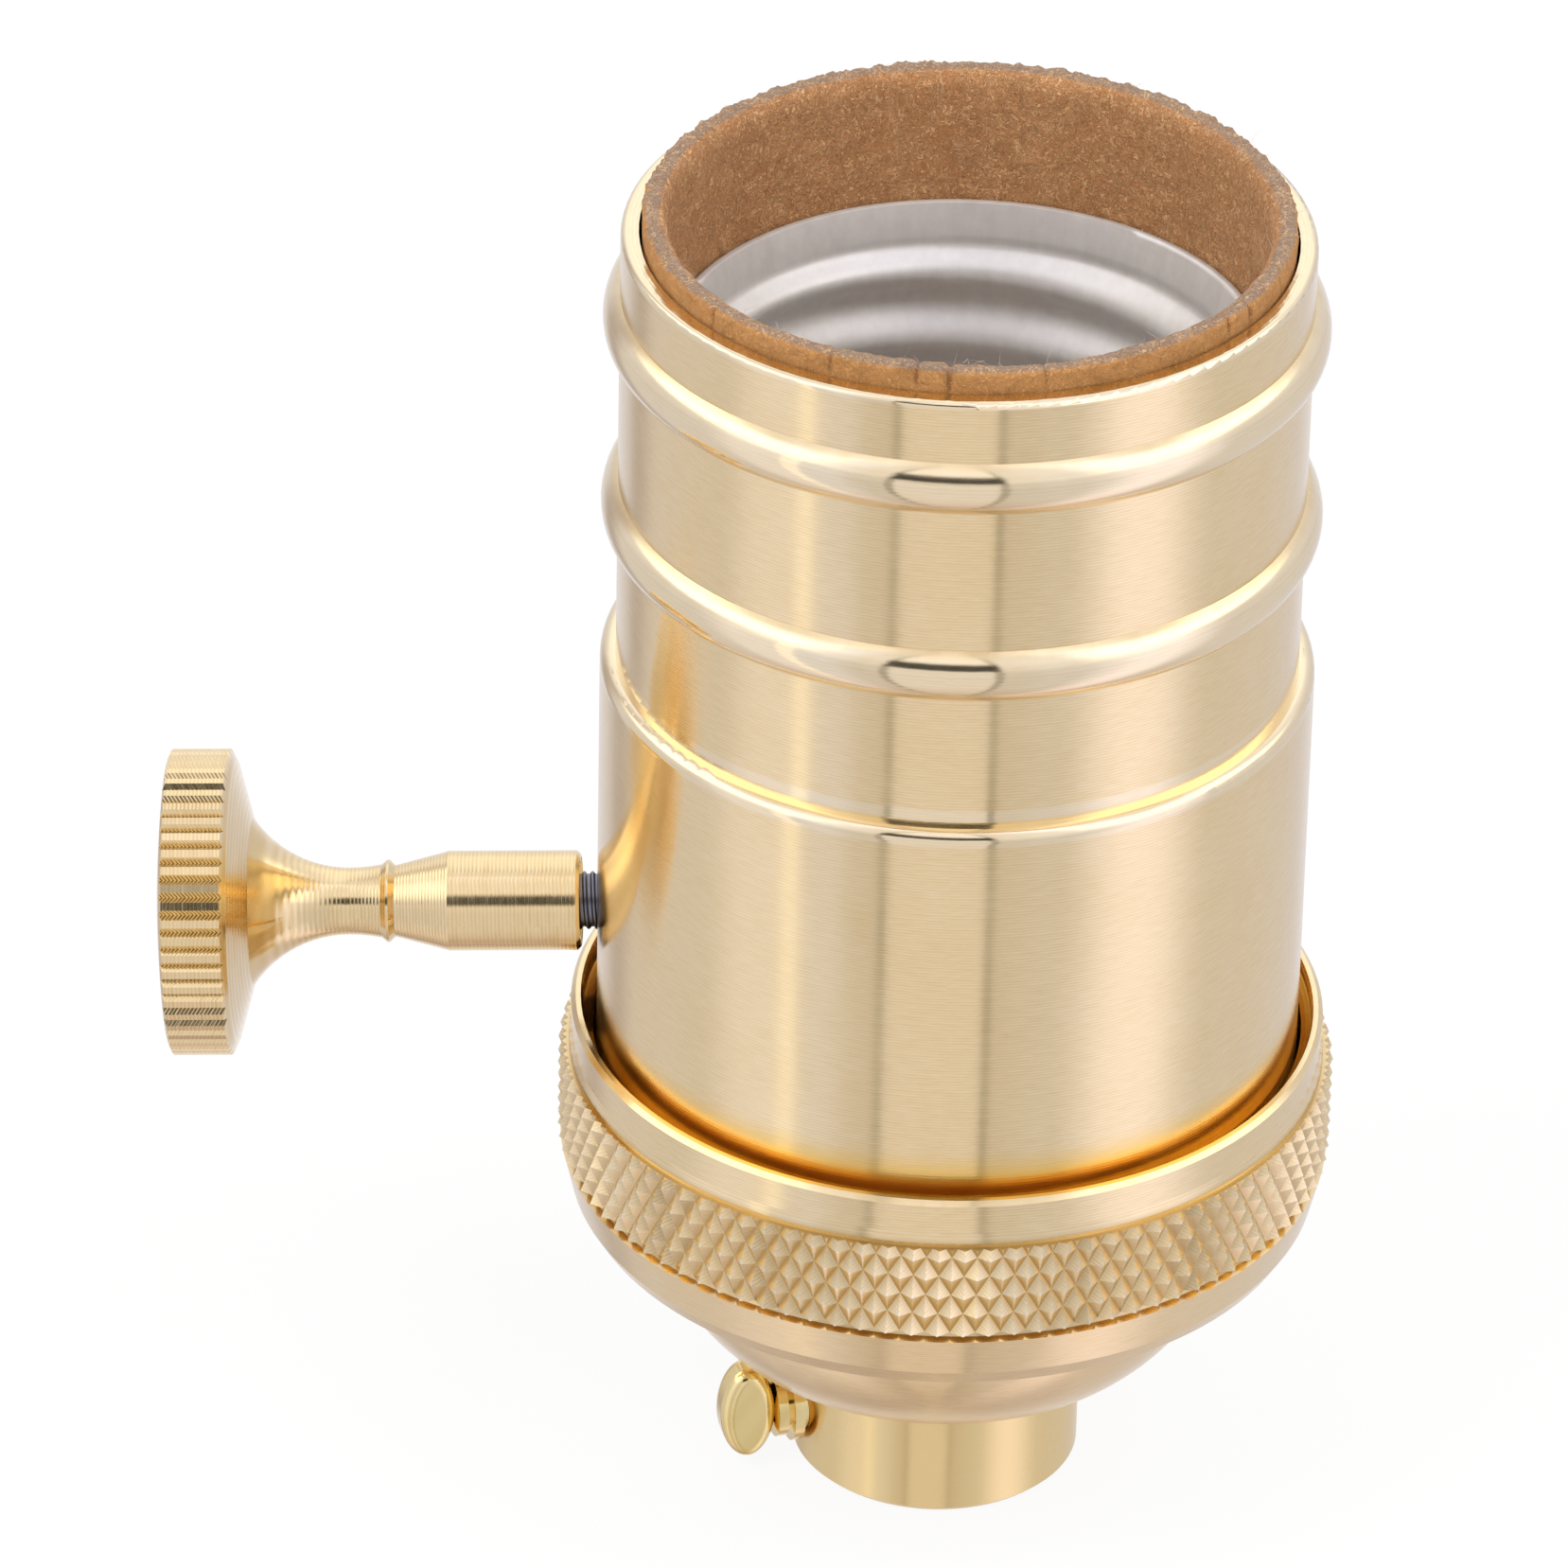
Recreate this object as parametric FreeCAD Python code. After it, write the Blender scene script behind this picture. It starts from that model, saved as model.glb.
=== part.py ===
import FreeCAD, Part
import math
import os

# Turn-knob lamp socket for a medium Edison screw lamp. Lengths are millimetres and angles degrees.
# The origin is the middle of the hub's bottom face. Z rises to the lamp, and the knob points to -X.

# --- Driving sizes -----------------------------------------------------------------------------
# Cap: a turned cup with a hub, a bowl, a knurled grip band and a plain rim.
hub_r = 7.15
hub_height = 8.5
hub_chamfer = 0.3
hub_thread_r = 4.6
cap_floor = 1.5
bowl_lip_r = 11.7
bowl_height = 5.5
bowl_wall = 2.0
bowl_bulge = 0.55
cove_height = 1.7
cove_bulge = 0.5
grip_band_inset = 0.03
grip_band_height = 2.55
grip_band_flare = 0.5
groove_height = 0.42
groove_depth = 0.35
knurl_proud = 0.62
knurl_depth = 0.42
knurl_height = 4.8
knurl_columns = 96
knurl_row_pitch = 2.15
knurl_seat_depth = 0.3
fillet_height = 0.75
rim_wall = 0.58
rim_height = 1.75
rim_edge = 0.22
cap_gap = 0.65
ledge_rise = 1.35
ledge_width = 1.4

# Outer shell: a tube that is wider below its shoulder, with two beads rolled round it.
shell_step = 0.77
shell_wall = 0.86
shell_top_z = 68.6
shoulder_z = 45.86
shoulder_round = 0.6
bead_section_r = 1.5
bead_proud = 0.8
lower_bead_z = 54.06
upper_bead_z = 64.1
shell_rim_round = 0.3
shell_collar_height = 3.0
thread_clearance = 0.02

# Fibre liner: a rolled tube inside the shell that stands a little above its rim.
liner_gap = 0.15
liner_wall = 1.2
liner_proud = 1.2

# Screw shell: thin sheet rolled to the Edison thread, with a flared lip and an inward floor.
screw_sheet = 0.4
screw_major_r = 13.25
screw_wave_depth = 0.9
screw_wave_runs = 6
screw_pitch = 3.629
screw_turns = 5
screw_lip_flare = 0.8
screw_lip_gap = 0.22
screw_lip_height = 0.9
screw_collar_height = 1.75
screw_base_height = 2.3
screw_floor_width = 3.75

# Insulating disc between the screw shell and the switch block.
disc_thickness = 1.0
disc_gap = 0.3

# Switch block: a moulded drum with a switch cavity, two terminal recesses and the shaft's bore.
block_gap = 0.27
block_height = 21.3
block_top_land = 3.7
recess_flat_inset = 2.25
recess_half_width = 5.5
shaft_z = 31.6
shaft_droop = 2.3
cavity_r = 5.4
cavity_knob_wall = 6.5
cavity_cover_depth = 6.0
cover_seat_step = 0.6
cover_thickness = 3.0
cover_fit = 0.05

# Switch shaft and what turns with it. Distances along the shaft run from the socket's axis to the knob.
shaft_r = 1.4
shaft_thread_r = 1.3
shaft_thread_lead = 0.5
shaft_end_past_clip = 0.5
shaft_flat = 1.05
shaft_fit = 0.05
shaft_collar_r = 2.4
shaft_collar_length = 0.8
shaft_end_play = 0.15
shaft_hole_gap = 0.3
clip_thickness = 0.5
clip_r = 2.5
clip_groove_depth = 0.35
clip_mouth = 1.9
drum_r = 4.2
drum_cover_gap = 3.6
cam_collar_gap = 0.95
cam_length = 3.2
cam_flat = 3.3
rotor_fit = 0.02
bridge_thickness = 0.4
bridge_bore_gap = 0.5
bridge_wing_angle = 80.0
bridge_wing_inset = 1.2
wiper_gap = 0.15
wiper_thickness = 0.4
wiper_width = 3.0
wiper_reach = 1.5
slot_gap = 0.25
detent_thickness = 0.35
detent_gap = 0.05

# Knob: a turned stem with a barrel, a neck ring, a trumpet flare and a toothed disc.
knob_gap = 0.8
knob_barrel_r = 2.45
knob_barrel_length = 6.45
knob_barrel_chamfer = 0.18
knob_face_cone = 0.35
knob_neck_r = 1.75
knob_neck_length = 2.65
knob_ring_r = 2.03
knob_ring_width = 0.66
knob_ring_flat = 0.12
knob_throat_r = 1.64
knob_throat_length = 1.6
knob_flare_length = 4.7
knob_flare_rise = 2.46
knob_disc_r = 7.5
knob_disc_length = 3.1
knob_back_length = 0.95
knob_teeth = 54
knob_tooth_depth = 0.28
knob_edge = 0.14
knob_thread_depth = 6.0
knob_dome = 0.5

# Terminals: bent strips on the recess flats, each with its binding screw.
terminal_thickness = 0.8
terminal_half_width = 3.2
terminal_bottom_gap = 1.6
terminal_screw_rise = 5.0
terminal_plate_top = 8.4
screw_head_r = 3.3
screw_head_height = 1.7
screw_slot_width = 0.8
screw_slot_depth = 0.7
screw_thread_r = 1.75
screw_length = 5.5
screw_fit = 0.05
neutral_tab_lap = 1.65

# Rivets that hold the screw shell, and the one that holds the centre contact.
body_rivet_inset = 1.6
body_rivet_r = 1.1
body_rivet_head_r = 1.7
body_rivet_head = 0.7
body_rivet_tail_r = 1.4
body_rivet_tail = 0.55
rivet_hole_gap = 0.05
contact_rivet_inset = 2.1
contact_rivet_r = 0.8
contact_rivet_head_r = 1.4
contact_rivet_head = 0.5
contact_rivet_depth = 3.0

# Centre contact: one spring strip, from the wiper on the rotor to the tip that the lamp presses.
contact_width = 4.0
contact_riser_inset = 2.0
contact_fold_inset = 1.6
contact_fold_r = 0.65
contact_tip_height = 4.2
contact_tail = 2.2
contact_tail_drop = 0.5

# Thumb screw in the hub's side.
thumb_azimuth = 17.0
thumb_z = 3.1
thumb_thread_r = 1.5
thumb_fit = 0.05
thumb_tip_gap = 0.35
thumb_collar_r = 1.95
thumb_collar_gap = 0.15
thumb_collar_width = 0.5
thumb_neck_r = 1.2
thumb_neck_length = 0.25
thumb_paddle_reach = 1.33
thumb_paddle_half_width = 1.4
thumb_paddle_half_height = 2.55
thumb_paddle_thickness = 1.9
thumb_paddle_round = 0.6

# --- Derived heights and radii -----------------------------------------------------------------
screw_minor_r = screw_major_r - screw_wave_depth
screw_lip_r = screw_major_r + screw_lip_flare
screw_floor_bore_r = screw_minor_r - screw_floor_width
liner_bore_r = screw_lip_r + screw_lip_gap
liner_r = liner_bore_r + liner_wall
shell_upper_r = liner_r + liner_gap + shell_wall
shell_r = shell_upper_r + shell_step
bead_outer_r = shell_upper_r + bead_proud
cap_bore_r = shell_r + cap_gap
rim_r = cap_bore_r + rim_wall
grip_band_r = rim_r - grip_band_inset
knurl_r = rim_r + knurl_proud
block_r = liner_bore_r - block_gap
ledge_bore_r = block_r - ledge_width
bowl_neck_r = ledge_bore_r + bowl_wall
disc_r = liner_bore_r - disc_gap
cavity_floor_r = bowl_lip_r - cap_floor

bowl_top_z = hub_height + bowl_height
band_bottom_z = bowl_top_z + cove_height
band_top_z = band_bottom_z + grip_band_height
knurl_bottom_z = band_top_z + groove_height
knurl_top_z = knurl_bottom_z + knurl_height
rim_bottom_z = knurl_top_z + fillet_height
cap_top_z = rim_bottom_z + rim_height
floor_z = hub_height + cap_floor
ledge_z = band_bottom_z + ledge_rise
liner_top_z = shell_top_z + liner_proud
block_top_z = ledge_z + block_height
recess_roof_z = block_top_z - block_top_land
disc_top_z = block_top_z + disc_thickness
screw_floor_top_z = disc_top_z + screw_sheet
screw_thread_z = screw_floor_top_z + screw_base_height
screw_collar_z = screw_thread_z + screw_turns * screw_pitch
terminal_screw_z = ledge_z + terminal_screw_rise

body_rivet_y = screw_minor_r - body_rivet_inset
recess_flat_y = body_rivet_y - recess_flat_inset
neutral_tab_reach = body_rivet_y + neutral_tab_lap
contact_fold_y = screw_floor_bore_r - contact_fold_inset
contact_rivet_y = contact_fold_y - contact_rivet_inset
contact_riser_y = contact_rivet_y - contact_riser_inset

cavity_knob_end = block_r - cavity_knob_wall
cavity_cover_end = cavity_cover_depth - block_r
cover_outer = cavity_cover_end - cover_thickness
clip_start = cover_outer - shaft_end_play
shaft_inner_end = clip_start - clip_thickness - shaft_end_past_clip
shaft_thread_start = block_r + shaft_thread_lead
collar_end = cavity_knob_end - shaft_end_play
collar_start = collar_end - shaft_collar_length
cam_end = collar_start - cam_collar_gap
cam_start = cam_end - cam_length
drum_start = cavity_cover_end + drum_cover_gap
bridge_wing_length = cam_start - drum_start - bridge_wing_inset
wing_r = drum_r + bridge_thickness
knob_start = shell_r + knob_gap
wiper_r = wing_r + wiper_gap
live_wiper_z = shaft_z - wiper_r - wiper_thickness
lamp_wiper_z = shaft_z + wiper_r

X_AXIS = FreeCAD.Vector(1, 0, 0)
Y_AXIS = FreeCAD.Vector(0, 1, 0)
Z_AXIS = FreeCAD.Vector(0, 0, 1)
ORIGIN = FreeCAD.Vector(0, 0, 0)


# --- Helpers -----------------------------------------------------------------------------------
def edges_through(moves):
    """Edges of a closed outline in the X-Z plane. A move is a corner, or (middle, end) for an arc."""
    edges = []
    here = FreeCAD.Vector(moves[0][0], 0, moves[0][1])
    for move in moves[1:] + moves[:1]:
        is_arc = isinstance(move[0], tuple)
        end = move[1] if is_arc else move
        there = FreeCAD.Vector(end[0], 0, end[1])
        if is_arc:
            middle = FreeCAD.Vector(move[0][0], 0, move[0][1])
            edges.append(Part.Arc(here, middle, there).toShape())
        elif here.distanceToPoint(there) > 1e-6:
            edges.append(Part.makeLine(here, there))
        here = there
    return edges


def outline_face(moves):
    return Part.Face(Part.Wire(edges_through(moves)))


def turned(moves):
    """A solid turned about Z from an outline of (radius, height) moves."""
    return outline_face(moves).revolve(ORIGIN, Z_AXIS, 360)


def turned_on_shaft(moves):
    """A solid turned about X from an outline of (distance, radius) moves."""
    return outline_face(moves).revolve(ORIGIN, X_AXIS, 360)


def arc_middle(start, end, bulge):
    """The middle of an arc from start to end that stands `bulge` to the right of the chord."""
    run = (end[0] - start[0], end[1] - start[1])
    chord = math.hypot(run[0], run[1])
    middle = ((start[0] + end[0]) / 2, (start[1] + end[1]) / 2)
    return (middle[0] + bulge * run[1] / chord, middle[1] - bulge * run[0] / chord)


def corner_middle(centre, radius, angle):
    turn = math.radians(angle)
    return (centre[0] + radius * math.cos(turn), centre[1] + radius * math.sin(turn))


def box(x0, x1, y0, y1, z0, z1):
    return Part.makeBox(x1 - x0, y1 - y0, z1 - z0, FreeCAD.Vector(x0, y0, z0))


def rod(radius, start, end, direction=Z_AXIS):
    """A cylinder between two distances along an axis through the origin."""
    return Part.makeCylinder(radius, end - start, direction * start, direction)


def ring(outer, inner, start, end, direction=Z_AXIS):
    return rod(outer, start, end, direction).cut(rod(inner, start, end, direction))


def across_x(moves, start, end):
    """A closed outline of (y, z) moves, extruded between two distances along X."""
    face = outline_face(moves)
    face.rotate(ORIGIN, Z_AXIS, 90)
    face.translate(X_AXIS * start)
    return face.extrude(X_AXIS * (end - start))


def on_shaft(shape):
    """Moves a shape made along +X to the shaft's line, which points to -X and droops to the knob."""
    placed = shape.copy()
    turn = FreeCAD.Rotation(Y_AXIS, 180 - shaft_droop)
    placed.Placement = FreeCAD.Placement(FreeCAD.Vector(0, 0, shaft_z), turn).multiply(placed.Placement)
    return placed


def moved(shape, x=0, y=0, z=0):
    placed = shape.copy()
    placed.translate(FreeCAD.Vector(x, y, z))
    return placed


# --- Cap ---------------------------------------------------------------------------------------
def cap_outline():
    core_r = knurl_r - knurl_depth - knurl_seat_depth / 2
    bowl_start = (bowl_lip_r, hub_height)
    bowl_end = (bowl_neck_r, bowl_top_z)
    cove_end = (grip_band_r - grip_band_flare, band_bottom_z - 0.25 * cove_height)
    band_end = (grip_band_r + grip_band_flare, band_top_z)
    inner_bowl = (cavity_floor_r, floor_z)
    inner_neck = (ledge_bore_r, bowl_top_z)
    return [
        (hub_thread_r, 0),
        (hub_r - hub_chamfer, 0),
        (hub_r, hub_chamfer),
        (hub_r, hub_height),
        bowl_start,
        (arc_middle(bowl_start, bowl_end, bowl_bulge), bowl_end),
        (arc_middle(bowl_end, cove_end, -cove_bulge), cove_end),
        (grip_band_r, band_bottom_z + 0.25 * cove_height),
        band_end,
        (grip_band_r + grip_band_flare - groove_depth, band_top_z + 0.3 * groove_height),
        (core_r, knurl_bottom_z),
        (core_r, knurl_top_z),
        (rim_r + 0.1, knurl_top_z + 0.3 * fillet_height),
        (rim_r, rim_bottom_z),
        (rim_r, cap_top_z - rim_edge),
        (rim_r - rim_edge, cap_top_z),
        (cap_bore_r + rim_edge / 2, cap_top_z),
        (cap_bore_r, cap_top_z - rim_edge),
        (cap_bore_r, ledge_z),
        (ledge_bore_r, ledge_z),
        inner_neck,
        (arc_middle(inner_neck, inner_bowl, -bowl_bulge), inner_bowl),
        (hub_thread_r, floor_z),
    ]


def knurl_radius(column, row):
    """Knurl radius at a lattice point: tips and valley crossings take turns along each row."""
    return knurl_r if (column + row) % 2 == 0 else knurl_r - knurl_depth


def knurl_point(column, row, radius):
    turn = math.pi * column / knurl_columns
    height = knurl_bottom_z + row * knurl_row_pitch / 2
    return FreeCAD.Vector(radius * math.cos(turn), radius * math.sin(turn), height)


def facet(*points):
    return Part.Face(Part.makePolygon(list(points) + [points[0]]))


def knurl_cell(column, row, share):
    """Facets of one lattice cell, from its row up to `share` of the next, and its top corner points."""
    root = knurl_r - knurl_depth
    low_left = knurl_point(column, row, knurl_radius(column, row))
    low_right = knurl_point(column + 1, row, knurl_radius(column + 1, row))
    high_left = knurl_point(column, row + 1, knurl_radius(column, row + 1))
    high_right = knurl_point(column + 1, row + 1, knurl_radius(column + 1, row + 1))
    rises_right = knurl_radius(column, row) == root
    if share >= 1:
        if rises_right:
            faces = [facet(low_left, low_right, high_right), facet(low_left, high_right, high_left)]
        else:
            faces = [facet(low_left, low_right, high_left), facet(low_right, high_right, high_left)]
        return faces, [high_left, high_right]
    left = low_left + (high_left - low_left) * share
    right = low_right + (high_right - low_right) * share
    if rises_right:
        middle = low_left + (high_right - low_left) * share
        faces = [facet(low_left, low_right, right, middle), facet(low_left, middle, left)]
    else:
        middle = low_right + (high_left - low_right) * share
        faces = [facet(low_left, low_right, middle, left), facet(low_right, right, middle)]
    return faces, [left, middle, right]


def knurl_ring():
    """The band of cut diamonds, closed to a ring that reaches a little way into the cap's wall."""
    count = 2 * knurl_columns
    rows = knurl_height / (knurl_row_pitch / 2)
    full_rows = int(rows + 1e-6)
    share = rows - full_rows
    faces = []
    for row in range(full_rows):
        for column in range(count):
            faces += knurl_cell(column, row, 1)[0]
    top = [knurl_point(column, full_rows, knurl_radius(column, full_rows)) for column in range(count)]
    if share > 0.02:
        top = []
        for column in range(count):
            cell_faces, corners = knurl_cell(column, full_rows, share)
            faces += cell_faces
            top += corners[:-1]
    bottom = [knurl_point(column, 0, knurl_radius(column, 0)) for column in range(count)]
    faces += [facet(*top), facet(*bottom)]
    shell = Part.makeShell(faces)
    shell.sewShape()
    drum = Part.makeSolid(shell)
    if drum.Volume < 0:
        drum.reverse()
    inner_r = knurl_r - knurl_depth - knurl_seat_depth
    return drum.cut(rod(inner_r, knurl_bottom_z - 1, knurl_top_z + 1))


def thumb_direction():
    turn = math.radians(180 + thumb_azimuth)
    return FreeCAD.Vector(math.cos(turn), math.sin(turn), 0)


def make_cap():
    body = turned(cap_outline())
    hole = rod(thumb_thread_r + thumb_fit, hub_thread_r / 2, hub_r + 1, thumb_direction())
    body = body.cut(moved(hole, z=thumb_z))
    return body.fuse(knurl_ring())


# --- Outer shell and liner ---------------------------------------------------------------------
def bead_moves(height):
    """The outline's moves round one rolled bead, going up."""
    centre_r = bead_outer_r - bead_section_r
    half = math.sqrt(bead_section_r**2 - (shell_upper_r - centre_r) ** 2)
    return [(shell_upper_r, height - half), ((bead_outer_r, height), (shell_upper_r, height + half))]


def shaft_slot(outer_r):
    """The round-topped slot that lets the shaft slide up into a wall from its lower edge."""
    half = shaft_r + shaft_hole_gap
    line_z = shaft_z - outer_r * math.tan(math.radians(shaft_droop))
    moves = [(-half, ledge_z - 1), (half, ledge_z - 1), (half, line_z), ((0, line_z + half), (-half, line_z))]
    return across_x(moves, -outer_r - 1, -outer_r / 2)


def make_outer_shell():
    inner_r = shell_upper_r - shell_wall
    lower_inner_r = shell_r - shell_wall
    collar_r = cap_bore_r - thread_clearance
    round_centre = (shell_r - shoulder_round, shoulder_z - shoulder_round)
    rim_centre = (shell_upper_r - shell_rim_round, shell_top_z - shell_rim_round)
    moves = [
        (lower_inner_r, ledge_z),
        (collar_r, ledge_z),
        (collar_r, ledge_z + shell_collar_height),
        (shell_r, ledge_z + shell_collar_height + collar_r - shell_r),
        (shell_r, shoulder_z - shoulder_round),
        (corner_middle(round_centre, shoulder_round, 45), (shell_r - shoulder_round, shoulder_z)),
        (shell_upper_r, shoulder_z),
    ]
    moves += bead_moves(lower_bead_z) + bead_moves(upper_bead_z)
    moves += [
        (shell_upper_r, shell_top_z - shell_rim_round),
        (corner_middle(rim_centre, shell_rim_round, 45), (shell_upper_r - shell_rim_round, shell_top_z)),
        (inner_r, shell_top_z),
        (inner_r, shoulder_z - shell_wall),
        (lower_inner_r, shoulder_z - shell_wall),
    ]
    return turned(moves).cut(shaft_slot(shell_r))


def make_fibre_liner():
    return ring(liner_r, liner_bore_r, ledge_z, liner_top_z).cut(shaft_slot(liner_r))


# --- Lamp contacts -----------------------------------------------------------------------------
def thread_wave(offset):
    """Corners along the rolled thread's rounded waves, going up, outward by `offset` from the lamp's side."""
    middle_r = (screw_major_r + screw_minor_r) / 2 + offset
    moves = []
    for step in range(screw_turns * screw_wave_runs):
        turn = 2 * math.pi * step / screw_wave_runs
        height = screw_thread_z + screw_pitch * step / screw_wave_runs
        moves.append((middle_r - screw_wave_depth / 2 * math.sin(turn), height))
    return moves


def make_screw_shell():
    middle_r = (screw_major_r + screw_minor_r) / 2
    outer_r = middle_r + screw_sheet
    collar_top = screw_collar_z + screw_collar_height
    lip_top = collar_top + screw_lip_height
    moves = [
        (screw_floor_bore_r, disc_top_z),
        (outer_r - screw_sheet, disc_top_z),
        (outer_r, screw_floor_top_z),
    ]
    moves += thread_wave(screw_sheet)
    moves += [
        (outer_r, screw_collar_z),
        (screw_major_r + screw_sheet, screw_collar_z + screw_sheet),
        (screw_major_r + screw_sheet, collar_top),
        (screw_lip_r, lip_top),
        (screw_lip_r - screw_sheet, lip_top),
        (screw_major_r, collar_top),
        (screw_major_r, screw_collar_z + screw_sheet),
        (middle_r, screw_collar_z),
    ]
    moves += reversed(thread_wave(0))
    moves += [(middle_r, screw_floor_top_z), (screw_floor_bore_r, screw_floor_top_z)]
    return turned(moves).cut(body_rivet_holes())


def body_rivet_holes():
    hole = rod(body_rivet_r + rivet_hole_gap, recess_roof_z - 2, screw_floor_top_z + 1)
    return moved(hole, y=body_rivet_y).fuse(moved(hole, y=-body_rivet_y))


def make_insulating_disc():
    disc = rod(disc_r, block_top_z, disc_top_z)
    half = wiper_width / 2 + slot_gap
    slot = box(
        -half,
        half,
        contact_riser_y - slot_gap,
        contact_riser_y + wiper_thickness + slot_gap,
        block_top_z - 1,
        disc_top_z + 1,
    )
    hole = moved(rod(contact_rivet_r + rivet_hole_gap, block_top_z - 1, disc_top_z + 1), y=contact_rivet_y)
    return disc.cut(slot).cut(hole).cut(body_rivet_holes())


def make_centre_contact():
    """Wiper on the rotor, riser through the disc, riveted pad, fold, and the sprung tip over the middle."""
    t = wiper_thickness
    riser = contact_riser_y
    pad_z = disc_top_z
    wiper = box(-wiper_width / 2, wiper_width / 2, -wiper_reach, riser, lamp_wiper_z, lamp_wiper_z + t)
    upright = box(-wiper_width / 2, wiper_width / 2, riser, riser + t, lamp_wiper_z, pad_z + t)
    fold_centre = (contact_fold_y, pad_z + t + contact_fold_r)
    outer_fold = contact_fold_r + t
    tip = (0, pad_z + contact_tip_height)
    tail = (-contact_tail, pad_z + contact_tip_height - contact_tail_drop)
    lean = math.degrees(math.atan2(tip[1] - fold_centre[1] - outer_fold, contact_fold_y))
    top_out = corner_middle(fold_centre, outer_fold, 90 - lean)
    top_in = corner_middle(fold_centre, contact_fold_r, 90 - lean)
    leaf = across_x(
        [
            (riser, pad_z),
            (contact_fold_y, pad_z),
            (corner_middle(fold_centre, outer_fold, -lean / 2), top_out),
            tip,
            tail,
            (tail[0], tail[1] - t),
            (tip[0], tip[1] - t),
            top_in,
            (corner_middle(fold_centre, contact_fold_r, -lean / 2), (contact_fold_y, pad_z + t)),
            (riser, pad_z + t),
        ],
        -contact_width / 2,
        contact_width / 2,
    )
    hole = moved(rod(contact_rivet_r + rivet_hole_gap, pad_z - 0.5, pad_z + t + 0.1), y=contact_rivet_y)
    return wiper.fuse(upright).fuse(leaf).removeSplitter().cut(hole)


# --- Switch block ------------------------------------------------------------------------------
def terminal_recess(side, roof_z):
    far = block_r + 1
    y0, y1 = (recess_flat_y, far) if side > 0 else (-far, -recess_flat_y)
    return box(-recess_half_width, recess_half_width, y0, y1, ledge_z - 1, roof_z)


def terminal_screw_hole(side, radius):
    hole = rod(radius, recess_flat_y - screw_length, recess_flat_y + 3, Y_AXIS * side)
    return moved(hole, z=terminal_screw_z)


def make_switch_block():
    block = rod(block_r, ledge_z, block_top_z)
    seat_r = cavity_r + cover_seat_step
    cavity = rod(cavity_r, cavity_cover_end, cavity_knob_end, X_AXIS)
    cavity = cavity.fuse(rod(seat_r, -block_r - 1, cavity_cover_end, X_AXIS))
    cavity = cavity.fuse(rod(shaft_r + shaft_fit, cavity_knob_end, block_r + 1, X_AXIS))
    block = block.cut(on_shaft(cavity))
    block = block.cut(terminal_recess(1, recess_roof_z))
    block = block.cut(terminal_recess(-1, recess_roof_z - terminal_thickness))
    half = wiper_width / 2 + slot_gap
    live_slot = box(
        -half,
        half,
        -recess_flat_y - 1,
        0,
        live_wiper_z - slot_gap,
        live_wiper_z + wiper_thickness + slot_gap,
    )
    riser_slot = box(
        -half,
        half,
        -wiper_reach - slot_gap,
        contact_riser_y + wiper_thickness + slot_gap,
        lamp_wiper_z - slot_gap,
        block_top_z + 1,
    )
    block = block.cut(live_slot).cut(riser_slot)
    rivet_hole = rod(contact_rivet_r + rivet_hole_gap, block_top_z - contact_rivet_depth, block_top_z + 1)
    block = block.cut(moved(rivet_hole, y=contact_rivet_y)).cut(body_rivet_holes())
    for side in (1, -1):
        block = block.cut(terminal_screw_hole(side, screw_thread_r + screw_fit))
    return block


def make_switch_cover():
    outer = rod(cavity_r + cover_seat_step - cover_fit, cover_outer, cavity_cover_end, X_AXIS)
    return on_shaft(outer.cut(rod(shaft_r + shaft_fit, cover_outer - 1, cavity_cover_end + 1, X_AXIS)))


# --- What turns with the knob ------------------------------------------------------------------
def flatted(shape, half_flat, start, end):
    """Cuts two flats on a shaft-line shape, `half_flat` from the line."""
    far = drum_r + 1
    for y0, y1 in ((half_flat, far), (-far, -half_flat)):
        shape = shape.cut(box(start, end, y0, y1, -far, far))
    return shape


def make_switch_shaft():
    thread_end = knob_start + knob_thread_depth - 0.5
    shaft = rod(shaft_r, shaft_inner_end, shaft_thread_start, X_AXIS)
    shaft = shaft.fuse(rod(shaft_thread_r, shaft_thread_start, thread_end, X_AXIS))
    shaft = shaft.fuse(rod(shaft_collar_r, collar_start, collar_end, X_AXIS))
    groove = ring(shaft_r + 1, shaft_r - clip_groove_depth, clip_start - clip_thickness, clip_start, X_AXIS)
    shaft = flatted(shaft.cut(groove), shaft_flat, drum_start, cam_end)
    return on_shaft(shaft)


def make_retaining_clip():
    inner = shaft_r - clip_groove_depth + shaft_fit
    clip = ring(clip_r, inner, clip_start - clip_thickness, clip_start, X_AXIS)
    half = clip_mouth / 2
    mouth = box(clip_start - clip_thickness, clip_start, -half, half, 0, clip_r + 1)
    return on_shaft(clip.cut(mouth))


def make_switch_rotor():
    """Insulating drum with a four-sided detent cam at its knob end."""
    drum = rod(drum_r, drum_start, cam_start, X_AXIS)
    cam = rod(drum_r, cam_start, cam_end, X_AXIS)
    cam = cam.common(box(cam_start, cam_end, -cam_flat, cam_flat, -cam_flat, cam_flat))
    bore = flatted(
        rod(shaft_r + rotor_fit, drum_start - 1, cam_end + 1, X_AXIS),
        shaft_flat + rotor_fit,
        drum_start - 1,
        cam_end + 1,
    )
    return on_shaft(drum.fuse(cam).cut(bore))


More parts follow.
